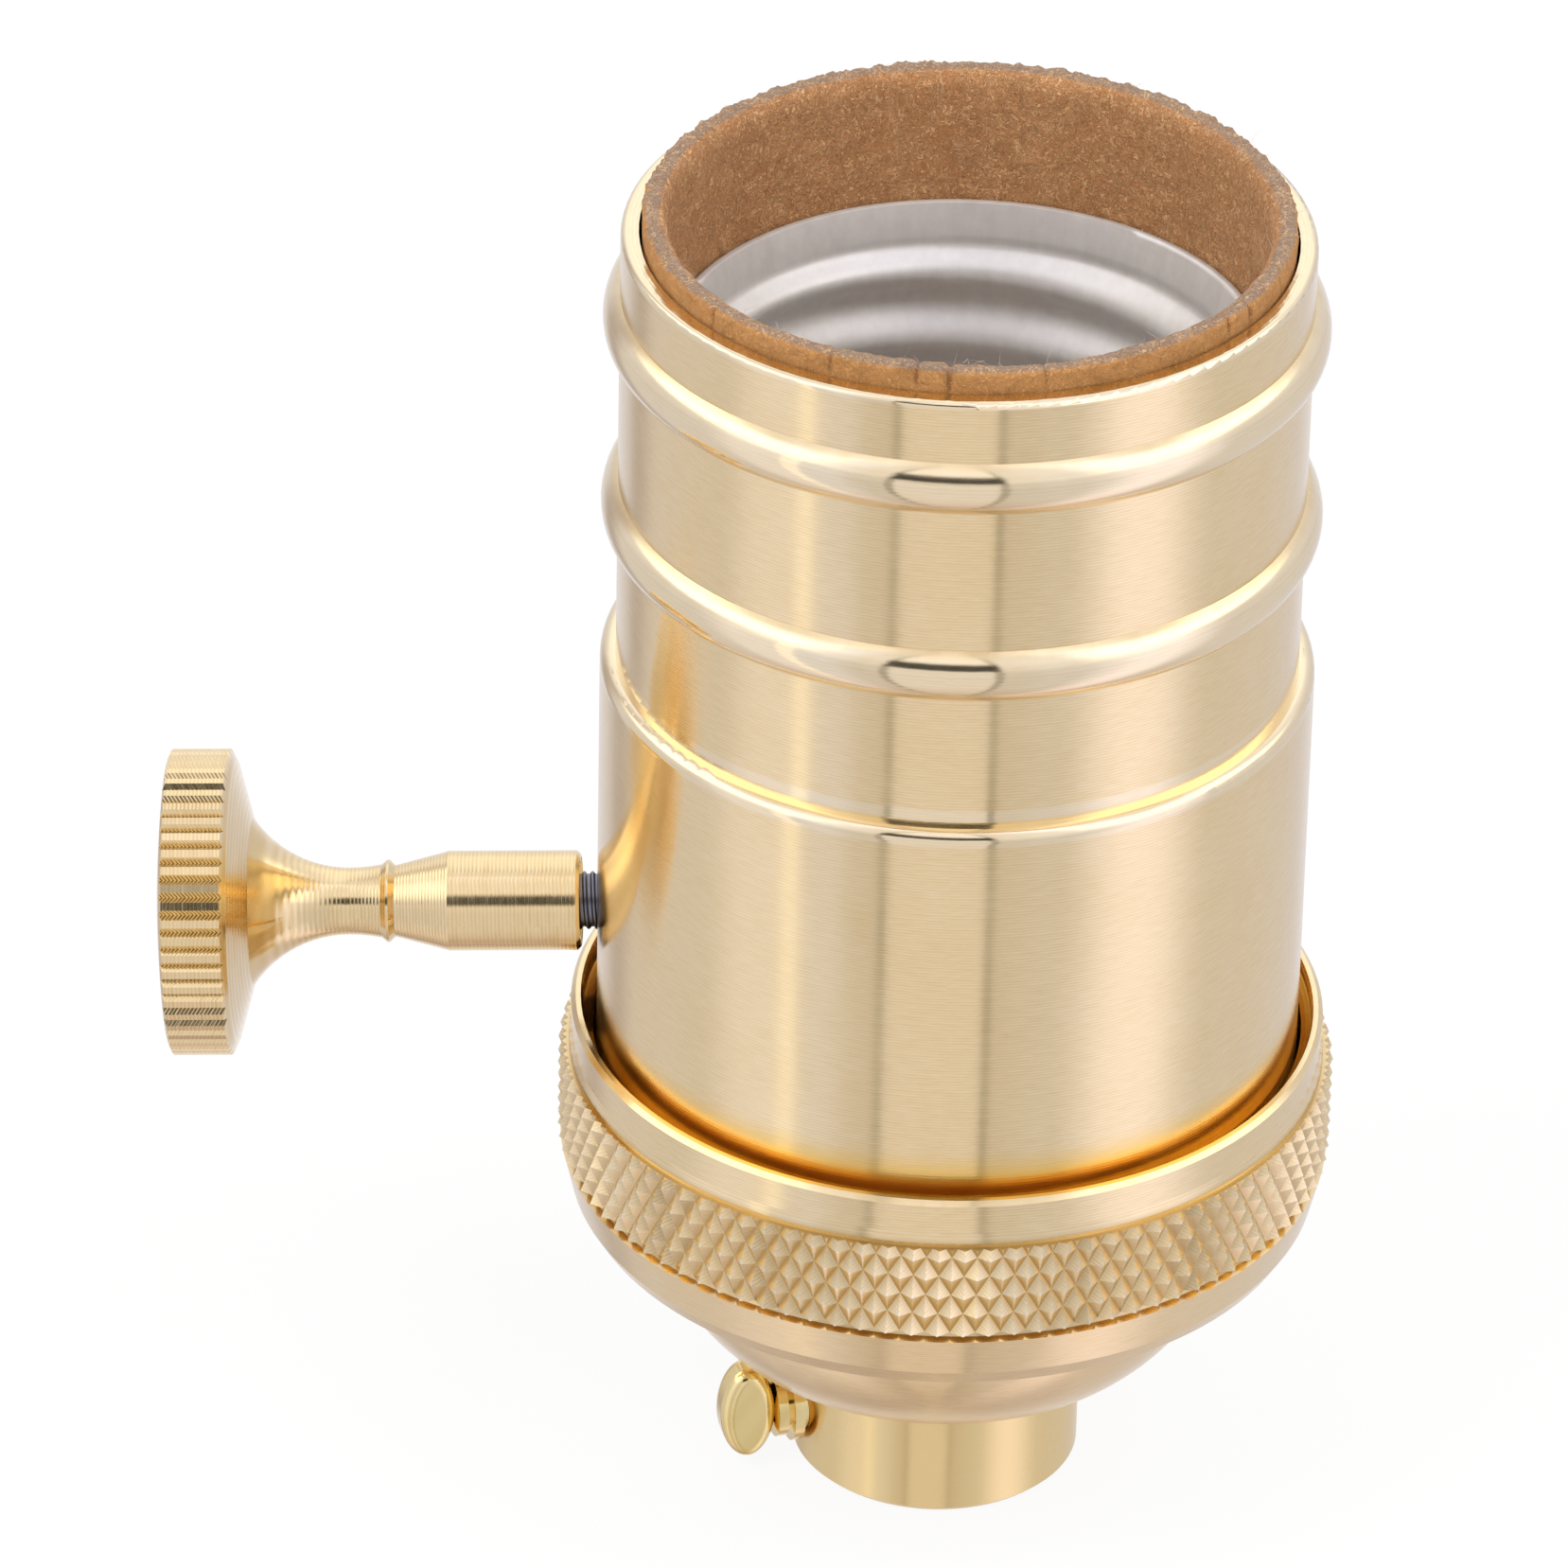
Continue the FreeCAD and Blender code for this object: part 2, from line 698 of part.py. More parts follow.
def make_rotor_contact():
    """A stamped ring on the drum's end, with two wings that lie along the drum."""
    end_ring = ring(wing_r, shaft_r + bridge_bore_gap, drum_start - bridge_thickness, drum_start, X_AXIS)
    sleeve = ring(wing_r, drum_r, drum_start, drum_start + bridge_wing_length, X_AXIS)
    half = math.radians(bridge_wing_angle / 2)
    far = wing_r + 1
    spread = far * math.tan(half)
    wedge = Part.makePolygon(
        [
            FreeCAD.Vector(drum_start, 0, 0),
            FreeCAD.Vector(drum_start, spread, far),
            FreeCAD.Vector(drum_start, -spread, far),
            FreeCAD.Vector(drum_start, 0, 0),
        ]
    )
    sector = Part.Face(wedge).extrude(X_AXIS * bridge_wing_length)
    lower = sector.copy()
    lower.rotate(ORIGIN, X_AXIS, 180)
    wings = sleeve.common(sector).fuse(sleeve.common(lower))
    return on_shaft(end_ring.fuse(wings).removeSplitter())


def make_detent_spring():
    """A flat leaf across the cavity that lies on one side of the cam."""
    near = cam_flat + detent_gap
    far = near + detent_thickness
    half = math.sqrt((cavity_r - detent_gap) ** 2 - far**2)
    inset = 0.15 * cam_length
    return on_shaft(box(cam_start + inset, cam_end - inset, near, far, -half, half))


def make_live_wiper():
    """An angle of spring strip: one leg behind the terminal plate, the other under the rotor."""
    t = wiper_thickness
    half = wiper_width / 2
    leg_top = live_wiper_z + t
    leg_bottom = terminal_screw_z - screw_head_r
    leg = box(-half, half, -recess_flat_y - t, -recess_flat_y, leg_bottom, leg_top)
    blade = box(-half, half, -recess_flat_y - t, wiper_reach, live_wiper_z, leg_top)
    pad = box(
        -terminal_half_width,
        terminal_half_width,
        -recess_flat_y - t,
        -recess_flat_y,
        leg_bottom,
        terminal_screw_z + screw_head_r,
    )
    spring = leg.fuse(blade).fuse(pad).removeSplitter()
    return spring.cut(terminal_screw_hole(-1, screw_thread_r + screw_fit))


# --- Knob --------------------------------------------------------------------------------------
def knob_outline():
    barrel_end = knob_start + knob_barrel_length
    neck_end = barrel_end + knob_neck_length
    ring_end = neck_end + knob_ring_width
    ridge = (neck_end + ring_end) / 2
    throat = ring_end + knob_throat_length
    flare_end = throat + knob_flare_length
    back = flare_end + knob_back_length
    face = back + knob_disc_length
    flare_r = knob_throat_r + knob_flare_rise
    arc_r = (knob_flare_length**2 + knob_flare_rise**2) / (2 * knob_flare_rise)
    half_turn = math.asin(knob_flare_length / arc_r) / 2
    flare_middle = (throat + arc_r * math.sin(half_turn), knob_throat_r + arc_r * (1 - math.cos(half_turn)))
    throat_start = (ring_end, knob_neck_r + 0.05)
    throat_end = (throat, knob_throat_r)
    core_r = knob_disc_r - knob_tooth_depth
    return [
        (knob_start + knob_face_cone, 0),
        (knob_start + knob_face_cone, shaft_thread_r),
        (knob_start, knob_barrel_r - knob_barrel_chamfer),
        (knob_start + knob_barrel_chamfer, knob_barrel_r),
        (barrel_end, knob_barrel_r),
        (neck_end, knob_neck_r),
        (ridge - knob_ring_flat / 2, knob_ring_r),
        (ridge + knob_ring_flat / 2, knob_ring_r),
        throat_start,
        (arc_middle(throat_start, throat_end, 0.04), throat_end),
        (flare_middle, (flare_end, flare_r)),
        (back - knob_edge, core_r - 2 * knob_edge),
        (back, core_r),
        (face, core_r),
        (arc_middle((face, core_r), (face + knob_dome, 0), -knob_dome / 4), (face + knob_dome, 0)),
    ]


def knob_tooth_ring():
    """The disc's toothed edge: one saw-cut profile round the rim, with its corners broken."""
    neck_end = knob_start + knob_barrel_length + knob_neck_length
    flare_end = neck_end + knob_ring_width + knob_throat_length + knob_flare_length
    back = flare_end + knob_back_length
    core_r = knob_disc_r - knob_tooth_depth
    points = []
    for tooth in range(knob_teeth):
        for share, radius in ((-0.5, core_r), (-0.22, knob_disc_r), (0.22, knob_disc_r)):
            turn = 2 * math.pi * (tooth + share) / knob_teeth
            points.append(FreeCAD.Vector(back, radius * math.sin(turn), radius * math.cos(turn)))
    rim = Part.Face(Part.makePolygon(points + [points[0]])).extrude(X_AXIS * knob_disc_length)
    face = back + knob_disc_length
    keep = turned_on_shaft(
        [
            (back, 0),
            (back, core_r),
            (back + knob_edge, knob_disc_r + 0.01),
            (face - knob_edge, knob_disc_r + 0.01),
            (face, core_r),
            (face, 0),
        ]
    )
    return rim.common(keep)


def make_knob():
    bore = rod(shaft_thread_r + rotor_fit, knob_start - 1, knob_start + knob_thread_depth, X_AXIS)
    body = turned_on_shaft(knob_outline()).fuse(knob_tooth_ring())
    return on_shaft(body.cut(bore))


# --- Terminals, screws and rivets --------------------------------------------------------------
def make_live_terminal():
    near = recess_flat_y + wiper_thickness
    far = near + terminal_thickness
    bottom = ledge_z + terminal_bottom_gap
    plate = box(-terminal_half_width, terminal_half_width, -far, -near, bottom, ledge_z + terminal_plate_top)
    return plate.cut(terminal_screw_hole(-1, screw_thread_r + screw_fit))


def make_neutral_terminal():
    near = recess_flat_y
    far = near + terminal_thickness
    bottom = ledge_z + terminal_bottom_gap
    tab_bottom = recess_roof_z - terminal_thickness
    plate = box(-terminal_half_width, terminal_half_width, near, far, bottom, recess_roof_z)
    tab = box(-terminal_half_width, terminal_half_width, near, neutral_tab_reach, tab_bottom, recess_roof_z)
    strap = plate.fuse(tab).removeSplitter()
    return strap.cut(terminal_screw_hole(1, screw_thread_r + screw_fit)).cut(body_rivet_holes())


def make_terminal_screw(side, seat):
    """A slotted binding-head screw with its head on the terminal plate at `seat` from the socket's axis."""
    head = rod(screw_head_r, seat, seat + screw_head_height, Y_AXIS)
    rim = head.Edges[0] if head.Edges[0].CenterOfMass.y > head.Edges[2].CenterOfMass.y else head.Edges[2]
    head = head.makeChamfer(screw_head_height / 4, [rim])
    shank = rod(screw_thread_r, seat - screw_length, seat, Y_AXIS)
    top = seat + screw_head_height
    half = screw_slot_width / 2
    slot = box(-screw_head_r, screw_head_r, top - screw_slot_depth, top, -half, half)
    screw = head.fuse(shank).cut(slot)
    if side < 0:
        screw.rotate(ORIGIN, Z_AXIS, 180)
    return moved(screw, z=terminal_screw_z)


def make_body_rivets():
    """Two like rivets: the heads are on the screw shell's floor, and the tails are under the recess roofs."""
    grip_z = recess_roof_z - terminal_thickness
    shank = rod(body_rivet_r, grip_z, screw_floor_top_z)
    head = rod(body_rivet_head_r, screw_floor_top_z, screw_floor_top_z + body_rivet_head)
    tail = rod(body_rivet_tail_r, grip_z - body_rivet_tail, grip_z)
    rivet = shank.fuse(head).fuse(tail).removeSplitter()
    return Part.makeCompound([moved(rivet, y=body_rivet_y), moved(rivet, y=-body_rivet_y)])


def make_contact_rivet():
    seat = disc_top_z + wiper_thickness
    shank = rod(contact_rivet_r, block_top_z - contact_rivet_depth, seat)
    head = rod(contact_rivet_head_r, seat, seat + contact_rivet_head)
    return moved(shank.fuse(head).removeSplitter(), y=contact_rivet_y)


# --- Thumb screw -------------------------------------------------------------------------------
def make_thumb_screw():
    """A threaded stem with a collar, a neck and a flat oval paddle to turn it by."""
    tip = hub_thread_r + thumb_tip_gap
    collar = hub_r + thumb_collar_gap
    neck = collar + thumb_collar_width
    second = neck + thumb_neck_length
    paddle = second + thumb_collar_width
    stem = rod(thumb_thread_r, tip, collar, X_AXIS)
    stem = stem.fuse(rod(thumb_collar_r, collar, neck, X_AXIS))
    stem = stem.fuse(rod(thumb_neck_r, neck, second, X_AXIS))
    stem = stem.fuse(rod(thumb_collar_r * 0.85, second, paddle, X_AXIS))
    centre = FreeCAD.Vector(paddle + thumb_paddle_reach, thumb_paddle_thickness / 2, 0)
    oval = Part.Ellipse(centre, thumb_paddle_half_height, thumb_paddle_half_width)
    oval.Axis = Y_AXIS
    oval.XAxis = Z_AXIS
    oval_face = Part.Face(Part.Wire(oval.toShape()))
    blade = oval_face.extrude(FreeCAD.Vector(0, -thumb_paddle_thickness, 0))
    blade = blade.makeFillet(thumb_paddle_round, blade.Edges)
    screw = stem.fuse(blade)
    screw.rotate(ORIGIN, Z_AXIS, 180 + thumb_azimuth)
    return moved(screw, z=thumb_z)


# --- Write every piece -------------------------------------------------------------------------
live_screw_seat = recess_flat_y + wiper_thickness + terminal_thickness
neutral_screw_seat = recess_flat_y + terminal_thickness

pieces = {
    "cap": make_cap(),
    "outer_shell": make_outer_shell(),
    "fibre_liner": make_fibre_liner(),
    "screw_shell": make_screw_shell(),
    "insulating_disc": make_insulating_disc(),
    "centre_contact": make_centre_contact(),
    "contact_rivet": make_contact_rivet(),
    "body_rivets": make_body_rivets(),
    "switch_block": make_switch_block(),
    "switch_cover": make_switch_cover(),
    "live_terminal": make_live_terminal(),
    "live_wiper": make_live_wiper(),
    "live_terminal_screw": make_terminal_screw(-1, live_screw_seat),
    "neutral_terminal": make_neutral_terminal(),
    "neutral_terminal_screw": make_terminal_screw(1, neutral_screw_seat),
    "switch_shaft": make_switch_shaft(),
    "retaining_clip": make_retaining_clip(),
    "switch_rotor": make_switch_rotor(),
    "rotor_contact": make_rotor_contact(),
    "detent_spring": make_detent_spring(),
    "knob": make_knob(),
    "thumb_screw": make_thumb_screw(),
}

os.makedirs("parts", exist_ok=True)
for name, shape in pieces.items():
    solids = shape.Solids
    whole = solids[0] if len(solids) == 1 else Part.makeCompound(solids)
    whole.exportStep(os.path.join("parts", name + ".step"))
    print(name, len(solids), "solid", round(whole.Volume, 2), "mm3", "valid" if whole.isValid() else "INVALID")
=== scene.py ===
import math
import random

import bmesh
import bpy
from mathutils import Matrix, Vector, noise


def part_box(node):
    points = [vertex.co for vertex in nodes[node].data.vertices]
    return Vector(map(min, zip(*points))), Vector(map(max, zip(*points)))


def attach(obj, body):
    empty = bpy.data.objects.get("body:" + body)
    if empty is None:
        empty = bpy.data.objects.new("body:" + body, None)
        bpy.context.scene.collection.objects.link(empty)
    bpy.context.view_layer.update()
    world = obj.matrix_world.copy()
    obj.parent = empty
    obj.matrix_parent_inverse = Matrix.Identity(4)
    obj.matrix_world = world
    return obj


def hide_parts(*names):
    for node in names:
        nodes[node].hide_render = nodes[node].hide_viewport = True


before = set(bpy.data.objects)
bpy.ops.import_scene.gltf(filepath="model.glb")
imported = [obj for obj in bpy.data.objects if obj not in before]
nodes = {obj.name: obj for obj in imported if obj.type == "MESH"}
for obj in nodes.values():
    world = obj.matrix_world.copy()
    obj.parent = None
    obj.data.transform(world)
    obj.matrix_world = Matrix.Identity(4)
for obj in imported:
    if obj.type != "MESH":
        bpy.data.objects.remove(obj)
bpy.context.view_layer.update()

MM = 0.001

# --- Sizes that follow the CAD -----------------------------------------------------------------
SHAFT_Z = 31.6 * MM
SHAFT_DROOP = math.radians(2.3)
SCREW_PITCH = 3.629 * MM
SCREW_MAJOR_R = 13.25 * MM
SCREW_MINOR_R = 12.35 * MM
SCREW_FLOOR_HOLE_R = 8.6 * MM
LINER_WALL = 1.2 * MM
LINER_SLOT_HALF = 1.7 * MM
LINER_SLOT_TOP = 32.3 * MM
CAP_BORE_R = 17.9 * MM
CAP_THREAD_Z = 20.9 * MM
HUB_BORE_R = 4.6 * MM
PIPE_PITCH = 0.94 * MM
GRIP_LOW, GRIP_HIGH = 18.3 * MM, 23.7 * MM
GRIP_ROOT_R, GRIP_CREST_R = 18.70 * MM, 18.98 * MM

# A turning axis is (a point on it, the tilt about Y that stands it upright).
UPRIGHT = ((0.0, 0.0, 0.0), 0.0)
ON_SHAFT = ((0.0, 0.0, SHAFT_Z), -math.pi / 2 + SHAFT_DROOP)

# --- Colours -----------------------------------------------------------------------------------
# Brass goes from dark to pale: painted shade and light of the turned grooves along the tool marks, over a
# mottle of the brass's own tone.
BRASS = ((0.83, 0.63, 0.32), (0.90, 0.705, 0.385), (0.95, 0.77, 0.46))
KNOB_BRASS = ((0.81, 0.60, 0.29), (0.88, 0.675, 0.35), (0.93, 0.74, 0.42))
POLISHED_BRASS = ((0.80, 0.59, 0.22), (0.88, 0.68, 0.28), (0.93, 0.74, 0.35))
# Painted shade: a darker copy of the brass for the threads sunk in the cap's gap and the hub's bore.
SHADED_GAP_BRASS = ((0.42, 0.25, 0.07), (0.52, 0.33, 0.10), (0.64, 0.43, 0.16))
# Painted reflection: the warm glow that the gap throws on the shell's foot.
GAP_GLOW_PAINT = (0.95, 0.58, 0.09)
GAP_SHADE = (0.50, 0.29, 0.07)
HUB_STAIN = (0.90, 0.67, 0.29)
# Painted shade for the knurl's grooves.
KNURL_GROOVE_SHADE = (0.60, 0.43, 0.19)
# Painted highlight: a pale colour laid on the smoother, worn beads, edges and knurl tips.
RUBBED_HIGHLIGHT = (0.97, 0.85, 0.60)
LINER_TONES = ((0.32, 0.132, 0.046), (0.49, 0.222, 0.084), (0.72, 0.43, 0.21))
LINER_OUTSIDE = (0.47, 0.215, 0.055)
LINER_CUT = (0.205, 0.125, 0.075)
LINER_CRACK = (0.09, 0.035, 0.012)
DISC_TONES = ((0.14, 0.05, 0.03), (0.2, 0.08, 0.045), (0.3, 0.14, 0.09))

# --- Studio lights -----------------------------------------------------------------------------
# What the metal sees round it: the surround, and over it the lights and cards, each over the ones
# before it. Azimuths are in degrees from the front towards +X; `half` is half a light's width, and
# `soft` is how wide its blurred edge is, inside `half`.
SURROUND = (0.72, 0.73, 0.86)
WALL_LIGHTS = [
    {"azimuth": 180, "half": 35, "soft": 34, "colour": (0.91, 0.93, 1.02)},  # behind
    {"azimuth": -44, "half": 18, "soft": 14, "colour": (0.79, 0.82, 1.03)},  # left fill
    {"azimuth": -65, "half": 22, "soft": 17, "colour": (0.89, 0.90, 1.09)},  # left window
    {"azimuth": -53, "half": 4, "soft": 2, "colour": (1.12, 1.12, 1.22)},  # left strip light
    {"azimuth": 63, "half": 29, "soft": 26, "colour": (1.11, 1.11, 1.42)},  # right window
    {"azimuth": -138, "half": 14, "soft": 13, "colour": (0.51, 0.48, 0.53)},  # card behind the knob
    {"azimuth": -4.5, "half": 36, "soft": 14, "colour": (0.69, 0.68, 0.76)},  # wall by the panel
    {"azimuth": -4.5, "half": 19, "soft": 0.9, "colour": (0.43, 0.42, 0.44)},  # the panel's frame
    {"azimuth": -4.5, "half": 16.4, "soft": 0.9, "colour": (0.815, 0.805, 0.91)},  # front panel
]
# Lights above the walls, which also have the sine of their elevation.
SIDE_LIGHT = {
    "half": 50,
    "soft": 20,
    "sine": 0.58,
    "half_sine": 0.26,
    "soft_sine": 0.13,
    "colour": (1.9, 1.9, 1.9),
}
DARK_CAMERA = {
    "azimuth": -4.5,
    "half": 19,
    "soft": 2.28,
    "sine": 0.5,
    "half_sine": 0.26,
    "soft_sine": 0.169,
    "colour": (0.05, 0.05, 0.05),
}
RAISED_LIGHTS = [{"azimuth": -88, **SIDE_LIGHT}, {"azimuth": 88, **SIDE_LIGHT}, DARK_CAMERA]
# How the walls change with height: (sine of the elevation, colour).
SKY_LEVELS = [
    (-1.0, (0.74, 0.64, 0.56)),
    (-0.9, (0.95, 0.87, 0.82)),
    (-0.7, (1.0, 0.99, 0.98)),
    (0.0, (1.0, 1.0, 1.0)),
    (0.3, (1.12, 1.12, 1.12)),
    (0.5, (1.32, 1.32, 1.32)),
    (1.0, (1.35, 1.35, 1.35)),
]
PLAIN_LIGHT = 0.9
FLOOR_Z = -0.02 * MM  # just under the hub, so that the two faces don't flicker

# Cracks in the liner's cut edge: (turn in degrees, depth in mm).
CRACKS = [
    (-98.5, 0.26),
    (-92.8, 0.28),
    (-114.0, 0.14),
    (-76.0, 0.14),
    (-38.0, 0.2),
    (-31.5, 0.26),
    (-140.0, 0.14),
    (150.0, 0.1),
]


# --- Small helpers -----------------------------------------------------------------------------
def link(obj):
    bpy.context.scene.collection.objects.link(obj)
    return obj


def opaque(colour):
    return (*colour, 1.0)


def grey(value):
    return (value, value, value, 1.0)


class Shader:
    """A material's node tree with short calls for the nodes that the finishes share."""

    def __init__(self, name):
        self.material = bpy.data.materials.new(name)
        self.material.use_nodes = True
        self.tree = self.material.node_tree
        self.tree.nodes.clear()
        self.output = self.tree.nodes.new("ShaderNodeOutputMaterial")

    @classmethod
    def on_tree(cls, tree):
        tool = cls.__new__(cls)
        tool.tree = tree
        tree.nodes.clear()
        return tool

    def node(self, kind, inputs=None, **settings):
        made = self.tree.nodes.new("ShaderNode" + kind)
        for key, value in settings.items():
            setattr(made, key, value)
        for key, value in (inputs or {}).items():
            self.set(made.inputs[key], value)
        return made

    def set(self, socket, value):
        if isinstance(value, bpy.types.NodeSocket):
            self.tree.links.new(value, socket)
        else:
            socket.default_value = value

    def math(self, operation, *values):
        made = self.node("Math", operation=operation)
        for socket, value in zip(made.inputs, values):
            self.set(socket, value)
        return made.outputs[0]

    def product(self, *values):
        result = values[0]
        for value in values[1:]:
            result = self.math("MULTIPLY", result, value)
        return result

    def away(self, value, middle):
        """How far value is from middle."""
        return self.math("ABSOLUTE", self.math("SUBTRACT", value, middle))

    def step(self, value, low, high):
        """0 below low and 1 above high, or the other way round where high is the lower."""
        made = self.node(
            "MapRange",
            {"Value": value, "From Min": low, "From Max": high},
            interpolation_type="SMOOTHSTEP",
        )
        return made.outputs[0]

    def mix(self, factor, first, second, blend="MIX"):
        made = self.node("Mix", data_type="RGBA", blend_type=blend)
        for socket, value in ((made.inputs[0], factor), (made.inputs[6], first), (made.inputs[7], second)):
            self.set(socket, value)
        return made.outputs[2]

    def tint(self, mask, strength, under, over):
        """Lays the colour over on the colour under, where mask is 1, at this strength."""
        return self.mix(self.product(mask, strength), under, opaque(over))

    def ramp(self, factor, stops):
        made = self.node("ValToRGB")
        elements = made.color_ramp.elements
        while len(elements) < len(stops):
            elements.new(0.5)
        for element, (place, colour) in zip(elements, stops):
            element.position = place
            element.color = opaque(colour)
        self.set(made.inputs[0], factor)
        return made.outputs[0]

    def noise(self, vector, scale, detail, roughness):
        inputs = {"Vector": vector, "Scale": scale, "Detail": detail, "Roughness": roughness}
        return self.node("TexNoise", inputs)

    def place(self):
        return self.node("TexCoord").outputs["Object"]

    def upright_radius(self, parts):
        """Distance from the Z axis, from a SeparateXYZ node."""
        across = self.node("CombineXYZ", {"X": parts.outputs[0], "Y": parts.outputs[1]})
        return self.node("VectorMath", {0: across.outputs[0]}, operation="LENGTH").outputs["Value"]

    def surface(self, **inputs):
        """Ends the material in a Principled shader; an underscore in a key stands for a space."""
        named = {key.replace("_", " "): value for key, value in inputs.items()}
        shader = self.node("BsdfPrincipled", named)
        return self.end(shader.outputs[0])

    def end(self, shader_socket):
        self.tree.links.new(shader_socket, self.output.inputs["Surface"])
        return self.material


# --- Camera ------------------------------------------------------------------------------------
def make_camera():
    """A long lens above the front, turned a little so that the socket stands right of the middle."""
    aim = Vector((0, 0, 38.8 * MM))
    distance = 542.94 * MM
    elevation = math.radians(31.26)
    back = Vector((0, -math.cos(elevation), math.sin(elevation)))
    base = (-back).to_track_quat("-Z", "Y").to_matrix()
    yaw = Matrix.Rotation(math.radians(0.8676), 3, "Y")
    pitch = Matrix.Rotation(math.radians(-0.0837), 3, "X")
    roll = Matrix.Rotation(math.radians(1.7104), 3, "Z")
    data = bpy.data.cameras.new("camera")
    data.sensor_width = 36.0
    data.lens = 256.69
    data.clip_start = 0.01
    data.clip_end = 20.0
    camera = link(bpy.data.objects.new("camera", data))
    camera.matrix_world = Matrix.Translation(aim + back * distance) @ (base @ yaw @ pitch @ roll).to_4x4()
    bpy.context.scene.camera = camera


# --- Studio ------------------------------------------------------------------------------------
def light_mask(tool, azimuth, sine, light):
    """1 where a direction falls on the light; one without a sine goes from floor to ceiling."""
    apart = tool.math("SUBTRACT", azimuth, math.radians(light["azimuth"]))
    aside = tool.math("ABSOLUTE", tool.math("WRAP", apart, math.pi, -math.pi))
    half = math.radians(light["half"])
    mask = tool.step(aside, half, half - math.radians(light["soft"]))
    if "sine" not in light:
        return mask
    half_sine = light["half_sine"]
    level = tool.step(tool.away(sine, light["sine"]), half_sine, half_sine - light["soft_sine"])
    return tool.product(mask, level)


def studio_world():
    """White to the camera; to the metal, a pale studio with soft lights and darker cards."""
    world = bpy.data.worlds.new("studio")
    bpy.context.scene.world = world
    world.use_nodes = True
    tool = Shader.on_tree(world.node_tree)
    parts = tool.node("SeparateXYZ", {"Vector": tool.node("TexCoord").outputs["Generated"]})
    sine = parts.outputs[2]
    azimuth = tool.math("ARCTAN2", parts.outputs[0], tool.product(parts.outputs[1], -1.0))
    walls = opaque(SURROUND)
    for light in WALL_LIGHTS:
        walls = tool.mix(light_mask(tool, azimuth, sine, light), walls, opaque(light["colour"]))
    height = tool.math("MULTIPLY_ADD", sine, 0.5, 0.5)
    lift = tool.ramp(height, [(level / 2 + 0.5, tone) for level, tone in SKY_LEVELS])
    studio = tool.mix(1.0, walls, lift, "MULTIPLY")
    for light in RAISED_LIGHTS:
        studio = tool.mix(light_mask(tool, azimuth, sine, light), studio, opaque(light["colour"]))
    path = tool.node("LightPath")
    seen = tool.math("MAXIMUM", path.outputs["Is Camera Ray"], path.outputs["Is Transmission Ray"])
    plain = tool.mix(path.outputs["Is Glossy Ray"], grey(PLAIN_LIGHT), studio)
    lamp = tool.node("Background", {"Color": tool.mix(seen, plain, grey(1.0)), "Strength": 1.0})
    output = tool.node("OutputWorld")
    world.node_tree.links.new(lamp.outputs[0], output.inputs["Surface"])


def make_floor():
    """A plain pale floor that takes a faint shadow."""
    data = bpy.data.meshes.new("floor")
    half = 3.0
    corners = [(-half, -half), (half, -half), (half, half), (-half, half)]
    data.from_pydata([(x, y, FLOOR_Z) for x, y in corners], [], [(0, 1, 2, 3)])
    floor = link(bpy.data.objects.new("floor", data))
    tool = Shader("floor")
    matte = tool.node("BsdfDiffuse", {"Color": grey(0.9)})
    glow = tool.node("Emission", {"Color": grey(1.0), "Strength": 0.985})
    shadow_share = 0.08
    blend = tool.node("MixShader", {0: shadow_share, 1: glow.outputs[0], 2: matte.outputs[0]})
    data.materials.append(tool.end(blend.outputs[0]))
    floor.visible_glossy = False


def make_lamps():
    """Two large soft lamps over the front corners for the matte parts and the floor's shadow."""
    target = Vector((0, 0, 0.04))
    for name, place, power in (
        ("left_lamp", (-0.45, -0.35, 0.75), 5.0),
        ("right_lamp", (0.5, -0.2, 0.7), 3.5),
    ):
        data = bpy.data.lights.new(name, "AREA")
        data.size = 0.5
        data.energy = power
        lamp = link(bpy.data.objects.new(name, data))
        lamp.location = place
        lamp.rotation_euler = (target - Vector(place)).to_track_quat("-Z", "Y").to_euler()
        lamp.visible_glossy = False


# --- Brass -------------------------------------------------------------------------------------
def own_axis(tool, axis_line):
    """Distance along a piece's turning axis, turn round it and radius, and the plain place."""
    point, tilt = axis_line
    place = tool.place()
    shifted = tool.node("VectorMath", {0: place, 1: point}, operation="SUBTRACT").outputs[0]
    turned = tool.node("VectorRotate", {"Vector": shifted, "Axis": (0, 1, 0), "Angle": tilt}).outputs[0]
    parts = tool.node("SeparateXYZ", {"Vector": turned})
    turn = tool.math("ARCTAN2", parts.outputs[0], parts.outputs[1])
    return parts.outputs[2], turn, tool.upright_radius(parts), place


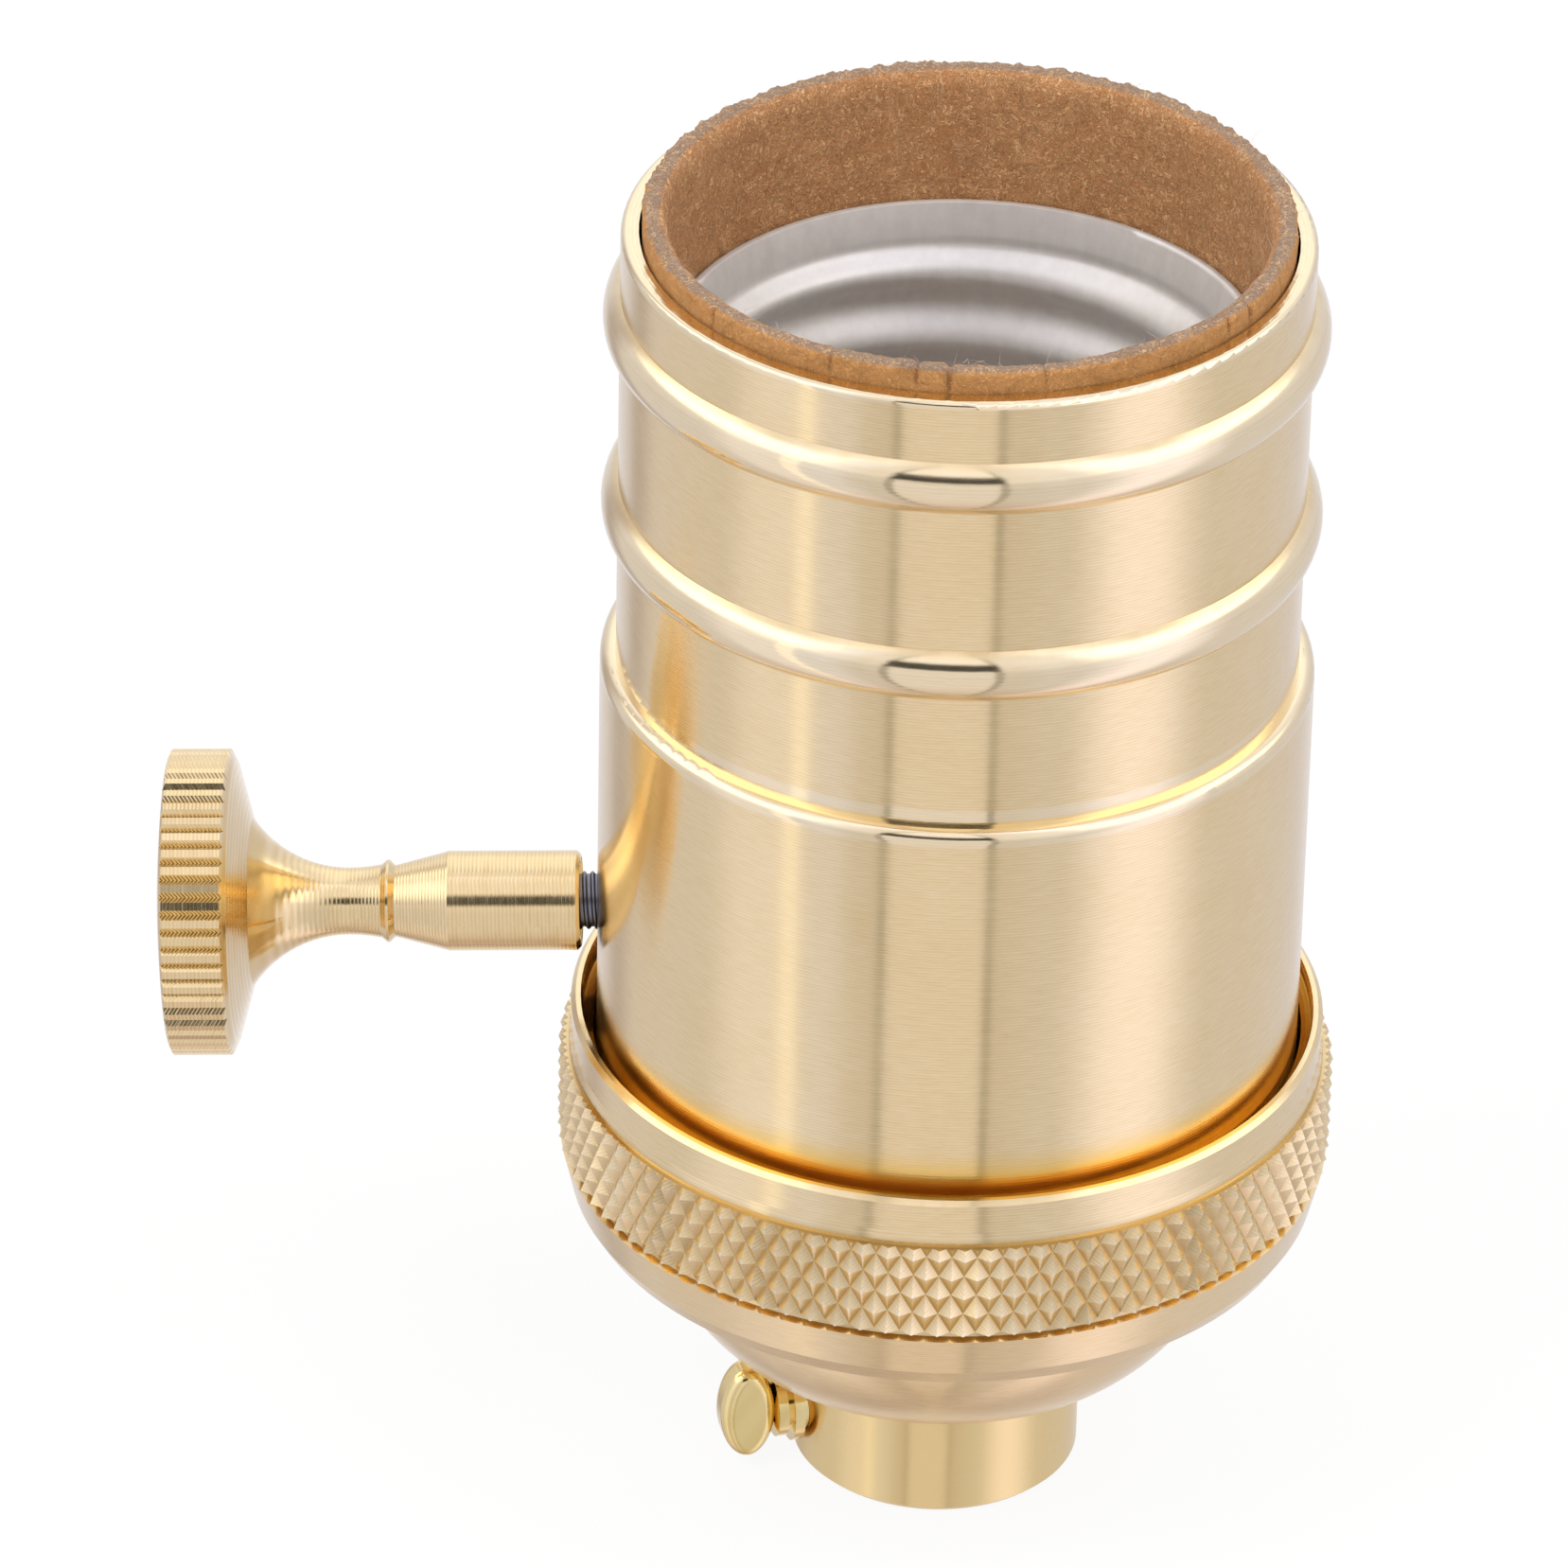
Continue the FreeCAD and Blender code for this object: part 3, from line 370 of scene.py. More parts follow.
def brass(
    name,
    axis_line,
    axis,
    pitch,
    depth,
    roughness,
    anisotropic,
    around=14.0,
    ripple=0.2,
    tones=BRASS,
    wear=(),
):
    """Turned, unlacquered brass: pale gold, with tool marks round the piece's axis and a faint mottle.

    `pitch` and `depth` are the tool marks', `around` breaks them up round the axis and `ripple` is their
    regular share. Each of `wear` changes the colour and the roughness of a part of the piece.
    """
    tool = Shader(name)
    along, turn, radius, place = own_axis(tool, axis_line)
    steps = tool.math("DIVIDE", tool.math("MULTIPLY_ADD", radius, 0.8, along), pitch)
    spot = tool.node("CombineXYZ", {"X": tool.product(turn, around), "Y": steps})
    grain = tool.noise(spot.outputs[0], 1.0, 2.0, 0.6)
    wave = tool.math("SINE", tool.product(steps, 2 * math.pi))
    line = tool.math("MULTIPLY_ADD", wave, ripple, grain.outputs["Fac"])
    bump = tool.node("Bump", {"Height": line, "Strength": 1.0, "Distance": depth})
    cloud = tool.noise(place, 260.0, 3.0, 0.6).outputs["Fac"]
    # The colour follows the tool marks as painted shade and light of their grooves; the mottle is the brass's
    # own tone.
    tone = tool.math("MULTIPLY_ADD", cloud, 0.35, tool.product(line, 0.65))
    colour = tool.ramp(tone, list(zip((0.2, 0.5, 0.8), tones)))
    worn = tool.math("MULTIPLY_ADD", cloud, 0.10, roughness - 0.05)
    for change in wear:
        colour, worn = change(tool, along, radius, colour, worn)
    tangent = tool.node("Tangent", direction_type="RADIAL", axis=axis)
    return tool.surface(
        Base_Color=colour,
        Metallic=1.0,
        Roughness=worn,
        Anisotropic=anisotropic,
        Anisotropic_Rotation=0.25,
        Tangent=tangent.outputs[0],
        Normal=bump.outputs[0],
    )


def rougher(tool, worn, mask, amount):
    """The roughness, changed by this share where mask is 1."""
    return tool.product(worn, tool.math("MULTIPLY_ADD", mask, amount, 1.0))


def warm_tint_below(low, high, tint_colour, roughening=0.0):
    """A warm tint below `low` that ends at `high`: on the hub a stained band, on the shell's foot a painted
    glow reflected from the gap.
    """

    def change(tool, along, radius, colour, worn):
        below = tool.step(along, high, low)
        if roughening:
            worn = rougher(tool, worn, below, roughening)
        return tool.tint(below, 0.82, colour, tint_colour), worn

    return change


def worn_highlight_bands(*bands):
    """Bands (middle, half height) worn smoother and brighter by handling, with a pale painted highlight laid
    on them.
    """

    def change(tool, along, radius, colour, worn):
        for middle, half in bands:
            worn_sheen = tool.step(tool.away(along, middle), half, 0.75 * half)
            # Painted highlight over the worn band; the lower roughness is the real wear.
            colour = tool.tint(worn_sheen, 0.45, colour, RUBBED_HIGHLIGHT)
            worn = rougher(tool, worn, worn_sheen, -0.35)
        return colour, worn

    return change


def knurl_shade_and_highlights(tool, along, radius, colour, worn):
    """Painted shade in the knurl's grooves, and tips worn smoother with a painted pale highlight."""
    half = (GRIP_HIGH - GRIP_LOW) / 2
    in_band = tool.step(tool.away(along, (GRIP_LOW + GRIP_HIGH) / 2), half + 0.2 * MM, half)
    sunk = tool.product(in_band, tool.step(radius, GRIP_CREST_R, GRIP_ROOT_R))
    tip = tool.product(in_band, tool.step(radius, GRIP_CREST_R, GRIP_CREST_R + 0.1 * MM))
    # Painted shade in the grooves, where the teeth shade each other.
    colour = tool.tint(sunk, 0.55, colour, KNURL_GROOVE_SHADE)
    # Painted highlight on the tips, which also wear smoother.
    colour = tool.tint(tip, 0.7, colour, RUBBED_HIGHLIGHT)
    return colour, rougher(tool, worn, tip, -0.35)


def shaded_bore(tool, along, radius, colour, worn):
    """The cap's bore, with painted shade from the ledge up to a little under the rim."""
    inside = tool.step(radius, CAP_BORE_R + 0.18 * MM, CAP_BORE_R + 0.08 * MM)
    above_ledge = tool.step(along, 20.0 * MM, 20.5 * MM)
    below_rim = tool.step(along, GRIP_HIGH + 2.1 * MM, GRIP_HIGH + 1.3 * MM)
    return tool.tint(tool.product(inside, above_ledge, below_rim), 0.85, colour, GAP_SHADE), worn


# --- Other finishes ----------------------------------------------------------------------------
def plain_metal(name, colour, roughness, metallic=1.0):
    """Stamped, rolled or plated metal with fine scuffs."""
    tool = Shader(name)
    scuff = tool.noise(tool.place(), 1 / (0.9 * MM), 5.0, 0.65).outputs["Fac"]
    bump = tool.node("Bump", {"Height": scuff, "Strength": 0.3, "Distance": 0.01 * MM})
    return tool.surface(
        Base_Color=tool.mix(scuff, opaque(c * 0.85 for c in colour), opaque(colour)),
        Metallic=metallic,
        Roughness=tool.math("MULTIPLY_ADD", scuff, 0.15, roughness - 0.07),
        Normal=bump.outputs[0],
    )


def phenolic(name):
    """Moulded phenolic: near black-brown with a soft gloss and a faint flow mottle."""
    tool = Shader(name)
    flow = tool.noise(tool.place(), 220.0, 6.0, 0.6).outputs["Fac"]
    colour = tool.mix(flow, (0.012, 0.008, 0.006, 1), (0.035, 0.022, 0.016, 1))
    bump = tool.node("Bump", {"Height": flow, "Strength": 0.2, "Distance": 0.02 * MM})
    return tool.surface(Base_Color=colour, Roughness=0.32, Normal=bump.outputs[0])


def rolled_aluminium(name):
    """Rolled aluminium sheet: matte light grey, with fine upright scratches."""
    tool = Shader(name)
    place = tool.place()
    grain = tool.noise(place, 1400.0, 3.0, 0.7).outputs["Fac"]
    drawn = tool.node("VectorMath", {0: place, 1: (1500, 1500, 200)}, operation="MULTIPLY")
    scratch = tool.noise(drawn.outputs[0], 1.0, 3.0, 0.6).outputs["Fac"]
    tone = tool.math("MULTIPLY_ADD", scratch, 0.5, tool.product(grain, 0.5))
    bump = tool.node("Bump", {"Height": tone, "Strength": 0.5, "Distance": 0.006 * MM})
    return tool.surface(
        Base_Color=tool.ramp(tone, [(0.3, (0.645, 0.62, 0.59)), (0.7, (0.755, 0.73, 0.70))]),
        Metallic=0.62,
        Roughness=tool.math("MULTIPLY_ADD", grain, 0.15, 0.42),
        Normal=bump.outputs[0],
    )


def straight_fibres(tool, bent):
    """Three noises, each drawn out into short streaks that lie another way."""
    layers = []
    for size, swing in (((4600, 4600, 1100), 0.5), ((3600, 3600, 1000), 1.9), ((4200, 4200, 900), -0.9)):
        turned = tool.node("VectorRotate", {"Vector": bent, "Axis": (0.6, 0.8, 0), "Angle": swing})
        scaled = tool.node("VectorMath", {0: turned.outputs[0], 1: size}, operation="MULTIPLY")
        layers.append(tool.noise(scaled.outputs[0], 1.0, 2.0, 0.5).outputs["Fac"])
    return layers


def curly_fibres(tool, bent):
    """1 on thin winding lines, broken into short pieces."""
    curls = []
    for shift in (0.0, 0.31, 0.57):
        moved = tool.node("VectorMath", {0: bent, 1: (shift,) * 3}, operation="ADD").outputs[0]
        winding = tool.noise(moved, 950.0, 1.0, 0.4).outputs["Fac"]
        broken = tool.noise(moved, 620.0, 0.0, 0.5).outputs["Fac"]
        thin = tool.step(tool.away(winding, 0.5), 0.045, 0.018)
        curls.append(tool.product(thin, tool.step(broken, 0.47, 0.52)))
    return tool.math("MAXIMUM", tool.math("MAXIMUM", curls[0], curls[1]), curls[2])


def fibre_board(name, tones, cut_height=None):
    """Rolled fibre board with short fibres every way, and a torn, cracked edge at `cut_height`."""
    dark, middle, pale = tones
    tool = Shader(name)
    place = tool.place()
    cloud = tool.noise(place, 260.0, 5.0, 0.6)
    bend = {0: place, 1: cloud.outputs["Color"], 2: (1.2 * MM,) * 3}
    bent = tool.node("VectorMath", bend, operation="MULTIPLY_ADD").outputs[0]
    hairs = straight_fibres(tool, bent)
    brightest = tool.math("MAXIMUM", tool.math("MAXIMUM", hairs[0], hairs[1]), hairs[2])
    darkest = tool.math("MINIMUM", tool.math("MINIMUM", hairs[0], hairs[1]), hairs[2])
    curled = curly_fibres(tool, bent)
    colour = tool.mix(cloud.outputs["Fac"], opaque(dark), opaque(middle))
    colour = tool.tint(tool.step(brightest, 0.56, 0.66), 0.4, colour, pale)
    colour = tool.tint(curled, 0.8, colour, pale)
    colour = tool.tint(tool.step(darkest, 0.44, 0.36), 0.5, colour, [c * 0.45 for c in dark])
    if cut_height:
        parts = tool.node("SeparateXYZ", {"Vector": place})
        fibres = (hairs, brightest, curled, cloud.outputs["Fac"])
        colour = cut_edge(tool, parts, fibres, colour, pale, cut_height)
    lump = tool.noise(place, 700.0, 2.0, 0.5).outputs["Fac"]
    relief = tool.math("MULTIPLY_ADD", brightest, 0.2, tool.math("MULTIPLY_ADD", curled, 0.09, lump))
    bump = tool.node("Bump", {"Height": relief, "Strength": 0.8, "Distance": 0.3 * MM})
    return tool.surface(Base_Color=colour, Roughness=0.85, Normal=bump.outputs[0])


def cut_edge(tool, parts, fibres, colour, pale, cut_height):
    """The liner's warmer outside, its greyish torn edge, and the cracks that run down from it."""
    hairs, brightest, curled, cloud = fibres
    radius, height = tool.upright_radius(parts), parts.outputs[2]
    outside = tool.step(radius, 15.1 * MM, 15.35 * MM)
    colour = tool.tint(outside, 0.6, colour, LINER_OUTSIDE)
    rise = tool.math("MULTIPLY_ADD", tool.away(radius, 15.0 * MM), -0.5, height)
    ragged = tool.math("MULTIPLY_ADD", hairs[1], 0.5 * MM, rise)
    fibre_tone = [0.13 + 0.95 * c for c in LINER_CUT]
    torn = tool.mix(tool.step(brightest, 0.54, 0.68), opaque(LINER_CUT), opaque(fibre_tone))
    torn = tool.tint(curled, 0.5, torn, pale)
    colour = tool.mix(tool.step(ragged, cut_height, cut_height + 0.2 * MM), colour, torn)
    turn = tool.math("ARCTAN2", parts.outputs[1], parts.outputs[0])
    wobble_size = 0.045
    wobble = tool.math("MULTIPLY_ADD", hairs[0], wobble_size, turn)
    reach = tool.math("MULTIPLY_ADD", cloud, 2.4 * MM, height)
    near_edge = tool.product(tool.step(reach, cut_height - 0.1 * MM, cut_height + 0.9 * MM), outside)
    for degrees, depth in CRACKS:
        off_crack = tool.away(wobble, math.radians(degrees) + wobble_size / 2)
        line = tool.product(tool.step(off_crack, 0.0065, 0.0025), min(1.0, 4 * depth))
        colour = tool.tint(tool.product(line, near_edge), 0.85, colour, LINER_CRACK)
    return colour


# --- Mesh building -----------------------------------------------------------------------------
def add_piece(name, points, faces, material, body, smooth_angle=40, replaced=()):
    """Makes a mesh object with outward faces, and rides it on its body."""
    mesh = bpy.data.meshes.new(name)
    mesh.from_pydata(points, [], faces)
    shape = bmesh.new()
    shape.from_mesh(mesh)
    bmesh.ops.recalc_face_normals(shape, faces=shape.faces)
    shape.to_mesh(mesh)
    shape.free()
    mesh.polygons.foreach_set("use_smooth", [True] * len(mesh.polygons))
    mesh.set_sharp_from_angle(angle=math.radians(smooth_angle))
    mesh.materials.append(material)
    piece = link(bpy.data.objects.new(name, mesh))
    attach(piece, body)
    if replaced:
        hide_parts(*replaced)
    return piece


def round_grid(profiles, closed=True):
    """Points and quads of rings of points: profiles[column][row], joined round and along."""
    rows = len(profiles[0])
    points = [point for profile in profiles for point in profile]
    faces = []
    last = len(profiles) if closed else len(profiles) - 1
    for column in range(last):
        left, right = column * rows, (column + 1) % len(profiles) * rows
        for row in range(rows):
            up = (row + 1) % rows
            faces.append((left + row, right + row, right + up, left + up))
    if not closed:
        faces.append(tuple(range(rows)))
        faces.append(tuple(reversed(range(last * rows, last * rows + rows))))
    return points, faces


def polar(radius, turn, height):
    return (radius * math.cos(turn), radius * math.sin(turn), height)


def ease(value, low, high):
    share = min(1.0, max(0.0, (value - low) / (high - low)))
    return share * share * (3 - 2 * share)


def helix_ridge(turns, columns_a_turn, section, place):
    """A ridge that winds round an axis: section is (distance, height) corners, and place maps them."""
    profiles = []
    for column in range(int(turns * columns_a_turn) + 1):
        share = column / columns_a_turn
        # The ridge rises and sinks over about a quarter turn at its ends.
        fade = min(1.0, 4 * min(share, turns - share) + 0.05)
        profiles.append([place(corner, share, fade) for corner in section])
    return round_grid(profiles, closed=False)


# --- Screw shell -------------------------------------------------------------------------------
def make_screw_sheet(material):
    """The rolled aluminium screw shell with its true helix, soft top run-out, flared lip and floor."""
    low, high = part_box("screw_shell")
    floor_z, lip_z, lip_r = low[2], high[2], high[0]
    sheet = 0.36 * MM
    middle, swing = (SCREW_MAJOR_R + SCREW_MINOR_R) / 2, (SCREW_MAJOR_R - SCREW_MINOR_R) / 2
    front_crest_z = 59.4 * MM
    thread_low, thread_high = floor_z + 2.9 * MM, lip_z - 2.7 * MM
    columns, rows = 168, 118
    rng = random.Random(4)
    waves = [(rng.uniform(0, 2 * math.pi), rng.randint(2, 7)) for _ in range(3)]

    def wall_radius(height, turn):
        phase = 2 * math.pi * (height - front_crest_z) / SCREW_PITCH - (turn - math.pi / 2)
        run_in = ease(height, thread_low, thread_low + 1.6 * MM)
        share = run_in * (1 - ease(height, thread_high, thread_high + 1.0 * MM))
        collar = (SCREW_MAJOR_R - middle) * ease(height, thread_high - 0.3 * MM, thread_high + 0.8 * MM)
        flare = (lip_r - sheet - SCREW_MAJOR_R) * above_thread(height) ** 1.8
        return middle - swing * math.cos(phase) * share + collar + flare

    def above_thread(height):
        return max(0.0, (height - thread_high) / (lip_z - thread_high))

    profiles = []
    for column in range(columns):
        turn = 2 * math.pi * column / columns
        wobble = sum(math.sin(count * turn + start) for start, count in waves) * 0.018 * MM
        inner = [(SCREW_FLOOR_HOLE_R, floor_z + sheet)]
        for row in range(rows):
            height = floor_z + sheet + (lip_z - floor_z - sheet) * row / (rows - 1)
            inner.append((wall_radius(height, turn) + wobble * above_thread(height), height))
        outer = []
        for radius, height in inner:
            on_floor = height <= floor_z + 1.01 * sheet
            outer.append((radius + sheet, height - sheet if on_floor else height))
        outer[0] = (SCREW_FLOOR_HOLE_R, floor_z)
        rolled_lip = (lip_r - sheet / 2 + wobble, lip_z + 0.08 * MM)
        ring = inner + [rolled_lip] + outer[::-1]
        profiles.append([polar(radius, turn, height) for radius, height in ring])
    points, faces = round_grid(profiles)
    add_piece("screw_sheet", points, faces, material, "socket", 50, ("screw_shell",))


# --- Fibre liner -------------------------------------------------------------------------------
def liner_heights(bottom, top):
    """Rows up the liner's wall, closer together near its edge, with one at the slot's top."""
    fine_z, fine_rows = 62 * MM, 12
    heights = [bottom, LINER_SLOT_TOP - 2 * MM, LINER_SLOT_TOP, 45 * MM, 58 * MM, 61 * MM]
    heights += [fine_z + (top - 0.9 * MM - fine_z) * row / fine_rows for row in range(fine_rows + 1)]
    return heights


def liner_section(heights, top, outer_r):
    """The liner's upright section as (radius, height), up the outside, over the edge and down the inside."""
    section = [(outer_r, height) for height in heights + [top - 0.7 * MM, top - 0.5 * MM, top - 0.3 * MM]]
    corner, corner_rows = 0.3 * MM, 6
    for row in range(1, corner_rows + 1):
        angle = math.pi / 2 * row / corner_rows
        section.append((outer_r - corner * (1 - math.cos(angle)), top - corner * (1 - math.sin(angle))))
    # Over the flat of the edge and down its worn inner corner, in mm.
    for inward, down in ((0.45, 0.0), (0.6, 0.02), (0.75, 0.06), (0.9, 0.16), (1.02, 0.32), (1.13, 0.6)):
        section.append((outer_r - inward * MM, top - down * MM))
    return section + [(outer_r - LINER_WALL, height) for height in reversed(heights)]


def liner_point(radius, height, turn, top, outer_r):
    """Moves a point of the plain tube: the edge waves, swells and frays, and the cracks cut into it."""
    near = ease(height, top - 1.6 * MM, top - 0.1 * MM)
    spot = Vector((math.cos(turn), math.sin(turn), 0)) * 9 + Vector((0, 0, height * 300))
    low_wave = noise.noise(Vector((math.cos(turn), math.sin(turn), 0)) * 2.2)
    fray = noise.noise(spot * 3.1) + 0.7 * noise.noise(spot * 7.3) + 0.5 * noise.noise(spot * 16)
    fine = noise.noise(spot * 1.7 + Vector((7, 3, 1)))
    radius += near * (0.09 * fine + 0.08 * fray) * MM
    height += near * (0.12 * low_wave + 0.10 * fray - 0.05) * MM
    outside = ease(radius, outer_r - 0.7 * LINER_WALL, outer_r)
    for degrees, depth in CRACKS:
        gap = abs((math.degrees(turn) - degrees + 180) % 360 - 180)
        cut = math.exp(-((gap / 0.55) ** 2)) * near
        radius -= cut * depth * MM * outside
        height -= cut * depth * 0.7 * MM
    return polar(min(radius, outer_r + 0.06 * MM), turn, height)


def make_liner(material):
    """The fibre liner: a rolled board tube with a soft, uneven, cracked cut edge and a slot for the shaft."""
    low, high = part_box("fibre_liner")
    bottom, top, outer_r = low[2], high[2], high[1]
    columns = 720
    slot_turn = math.asin(LINER_SLOT_HALF / outer_r)
    slot_sides = [math.pi - slot_turn, math.pi + slot_turn]
    turns = [2 * math.pi * column / columns for column in range(columns)]
    turns = sorted([t for t in turns if abs(abs(t - math.pi) - slot_turn) > 0.004] + slot_sides)
    heights = liner_heights(bottom, top)
    section = liner_section(heights, top, outer_r)
    rows = len(section)
    points = [liner_point(radius, height, turn, top, outer_r) for turn in turns for radius, height in section]
    in_slot = [slot_sides[0] - 1e-6 < turn < slot_sides[1] - 1e-6 for turn in turns]
    low_enough = [height <= LINER_SLOT_TOP + 1e-9 for _, height in section]
    in_slot_rows = [low_enough[row] and low_enough[(row + 1) % rows] for row in range(rows)]
    faces = []
    for column in range(len(turns)):
        left, right = column * rows, (column + 1) % len(turns) * rows
        for row in range(rows):
            up = (row + 1) % rows
            if not (in_slot[column] and in_slot_rows[row]):
                faces.append((left + row, right + row, right + up, left + up))
    faces += slot_faces(in_slot, heights.index(LINER_SLOT_TOP), rows)
    add_piece("liner_board", points, faces, material, "socket", 60, ("fibre_liner",))


def slot_faces(in_slot, slot_row, rows):
    """The slot's two sides and its top, which close the wall's cut."""
    faces = []
    first = in_slot.index(True)
    last = len(in_slot) - in_slot[::-1].index(True)
    for column in (first, last):
        base = column * rows
        for row in range(slot_row):
            mirror = rows - 1 - row
            faces.append((base + row, base + row + 1, base + mirror - 1, base + mirror))
    for column in range(first, last):
        left, right = column * rows, (column + 1) * rows
        mirror = rows - 1 - slot_row
        faces.append((left + slot_row, right + slot_row, right + mirror, left + mirror))
    return faces


def make_fuzz(material):
    """Loose fibre ends along the liner's cut edge."""
    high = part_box("fibre_liner")[1]
    top, outer_r = high[2], high[1]
    hair_count = 260
    rng = random.Random(12)
    points, faces = [], []
    for _ in range(hair_count):
        turn = rng.uniform(0, 2 * math.pi)
        radius = outer_r - rng.uniform(0.05, 1.15) * MM
        start = Vector(polar(radius, turn, top - rng.uniform(0.18, 0.4) * MM))
        outward = Vector((math.cos(turn), math.sin(turn), 0))
        side = Vector((-math.sin(turn), math.cos(turn), 0))
        lean = outward * rng.uniform(-0.5, 0.5) + side * rng.uniform(-1, 1)
        lean += Vector((0, 0, rng.uniform(0.1, 0.8)))
        curl = outward * rng.uniform(-1, 1) + side * rng.uniform(-1, 1)
        curl += Vector((0, 0, rng.uniform(-0.9, 0.2)))
        length = rng.uniform(0.3, 0.95) * MM
        thick = rng.uniform(0.008, 0.014) * MM
        add_hair(points, faces, start, lean.normalized(), curl * 0.5, length, thick)
    add_piece("liner_fuzz", points, faces, material, "socket", 80)


def add_hair(points, faces, start, lean, curl, length, thick):
    """One curved, closed, three-sided fibre."""
    steps = 5
    base = len(points)
    across = lean.orthogonal().normalized()
    over = lean.cross(across)
    for step in range(steps + 1):
        share = step / steps
        centre = start + lean * length * share + curl * length * share * share
        width = thick * (1 - 0.6 * share)
        for corner in range(3):
            angle = 2 * math.pi * corner / 3
            points.append(tuple(centre + (across * math.cos(angle) + over * math.sin(angle)) * width))
    for step in range(steps):
        low = base + 3 * step
        for corner in range(3):
            after = (corner + 1) % 3
            faces.append((low + corner, low + after, low + 3 + after, low + 3 + corner))
    faces.append((base, base + 1, base + 2))
    faces.append((base + 3 * steps + 2, base + 3 * steps + 1, base + 3 * steps))


# --- Threads -----------------------------------------------------------------------------------
def bore_ridge(bore, crest, bottom, first_turn):
    """Places a pipe thread's corners on the inside of an upright bore, a hair deep in its wall."""

    def place(corner, share, fade):
        inward, along = corner
        radius = bore + 0.02 * MM - inward * (bore - crest) * fade
        height = bottom + PIPE_PITCH * share + along * PIPE_PITCH
        return polar(radius, first_turn + 2 * math.pi * share, height)

    return place


def make_cap_thread(material):
    """The cap's inner thread, which shows in the gap between its rim and the shell."""
    turns = (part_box("cap")[1][2] - 0.55 * MM - CAP_THREAD_Z) / PIPE_PITCH
    section = [(0, -0.46), (1, -0.08), (1, 0.08), (0, 0.46)]
    points, faces = helix_ridge(turns, 180, section, bore_ridge(CAP_BORE_R, 17.42 * MM, CAP_THREAD_Z, -2.0))
    add_piece("cap_thread", points, faces, material, "socket", 30)


def make_hub_thread(material):
    """The pipe thread in the hub's bore."""
    section = [(0, -0.45), (1, -0.06), (1, 0.06), (0, 0.45)]
    points, faces = helix_ridge(8.4, 96, section, bore_ridge(HUB_BORE_R, 4.42 * MM, 0.9 * MM, 0.0))
    add_piece("hub_thread_ridge", points, faces, material, "socket", 30)


def make_shaft_thread(material):
    """The thread on the shaft where it shows between the shell and the knob."""
    root, crest, pitch = 1.22 * MM, 1.42 * MM, 0.4 * MM
    start = 16.35 * MM
    # From the shaft's own line, which runs along +X, to its place in the frame.
    on_shaft = Matrix.Translation((0, 0, SHAFT_Z)) @ Matrix.Rotation(math.pi - SHAFT_DROOP, 4, "Y")

    def place(corner, share, fade):
        outward, along = corner
        radius = root + outward * (crest - root) * fade
        turn = 2 * math.pi * share
        spot = (start + pitch * share + along * pitch, radius * math.cos(turn), radius * math.sin(turn))
        return tuple(on_shaft @ Vector(spot))

    section = [(0, -0.48), (1, -0.1), (1, 0.1), (0, 0.48)]
    points, faces = helix_ridge(5.0, 48, section, place)
    add_piece("shaft_thread", points, faces, material, "switch_spindle", 30)


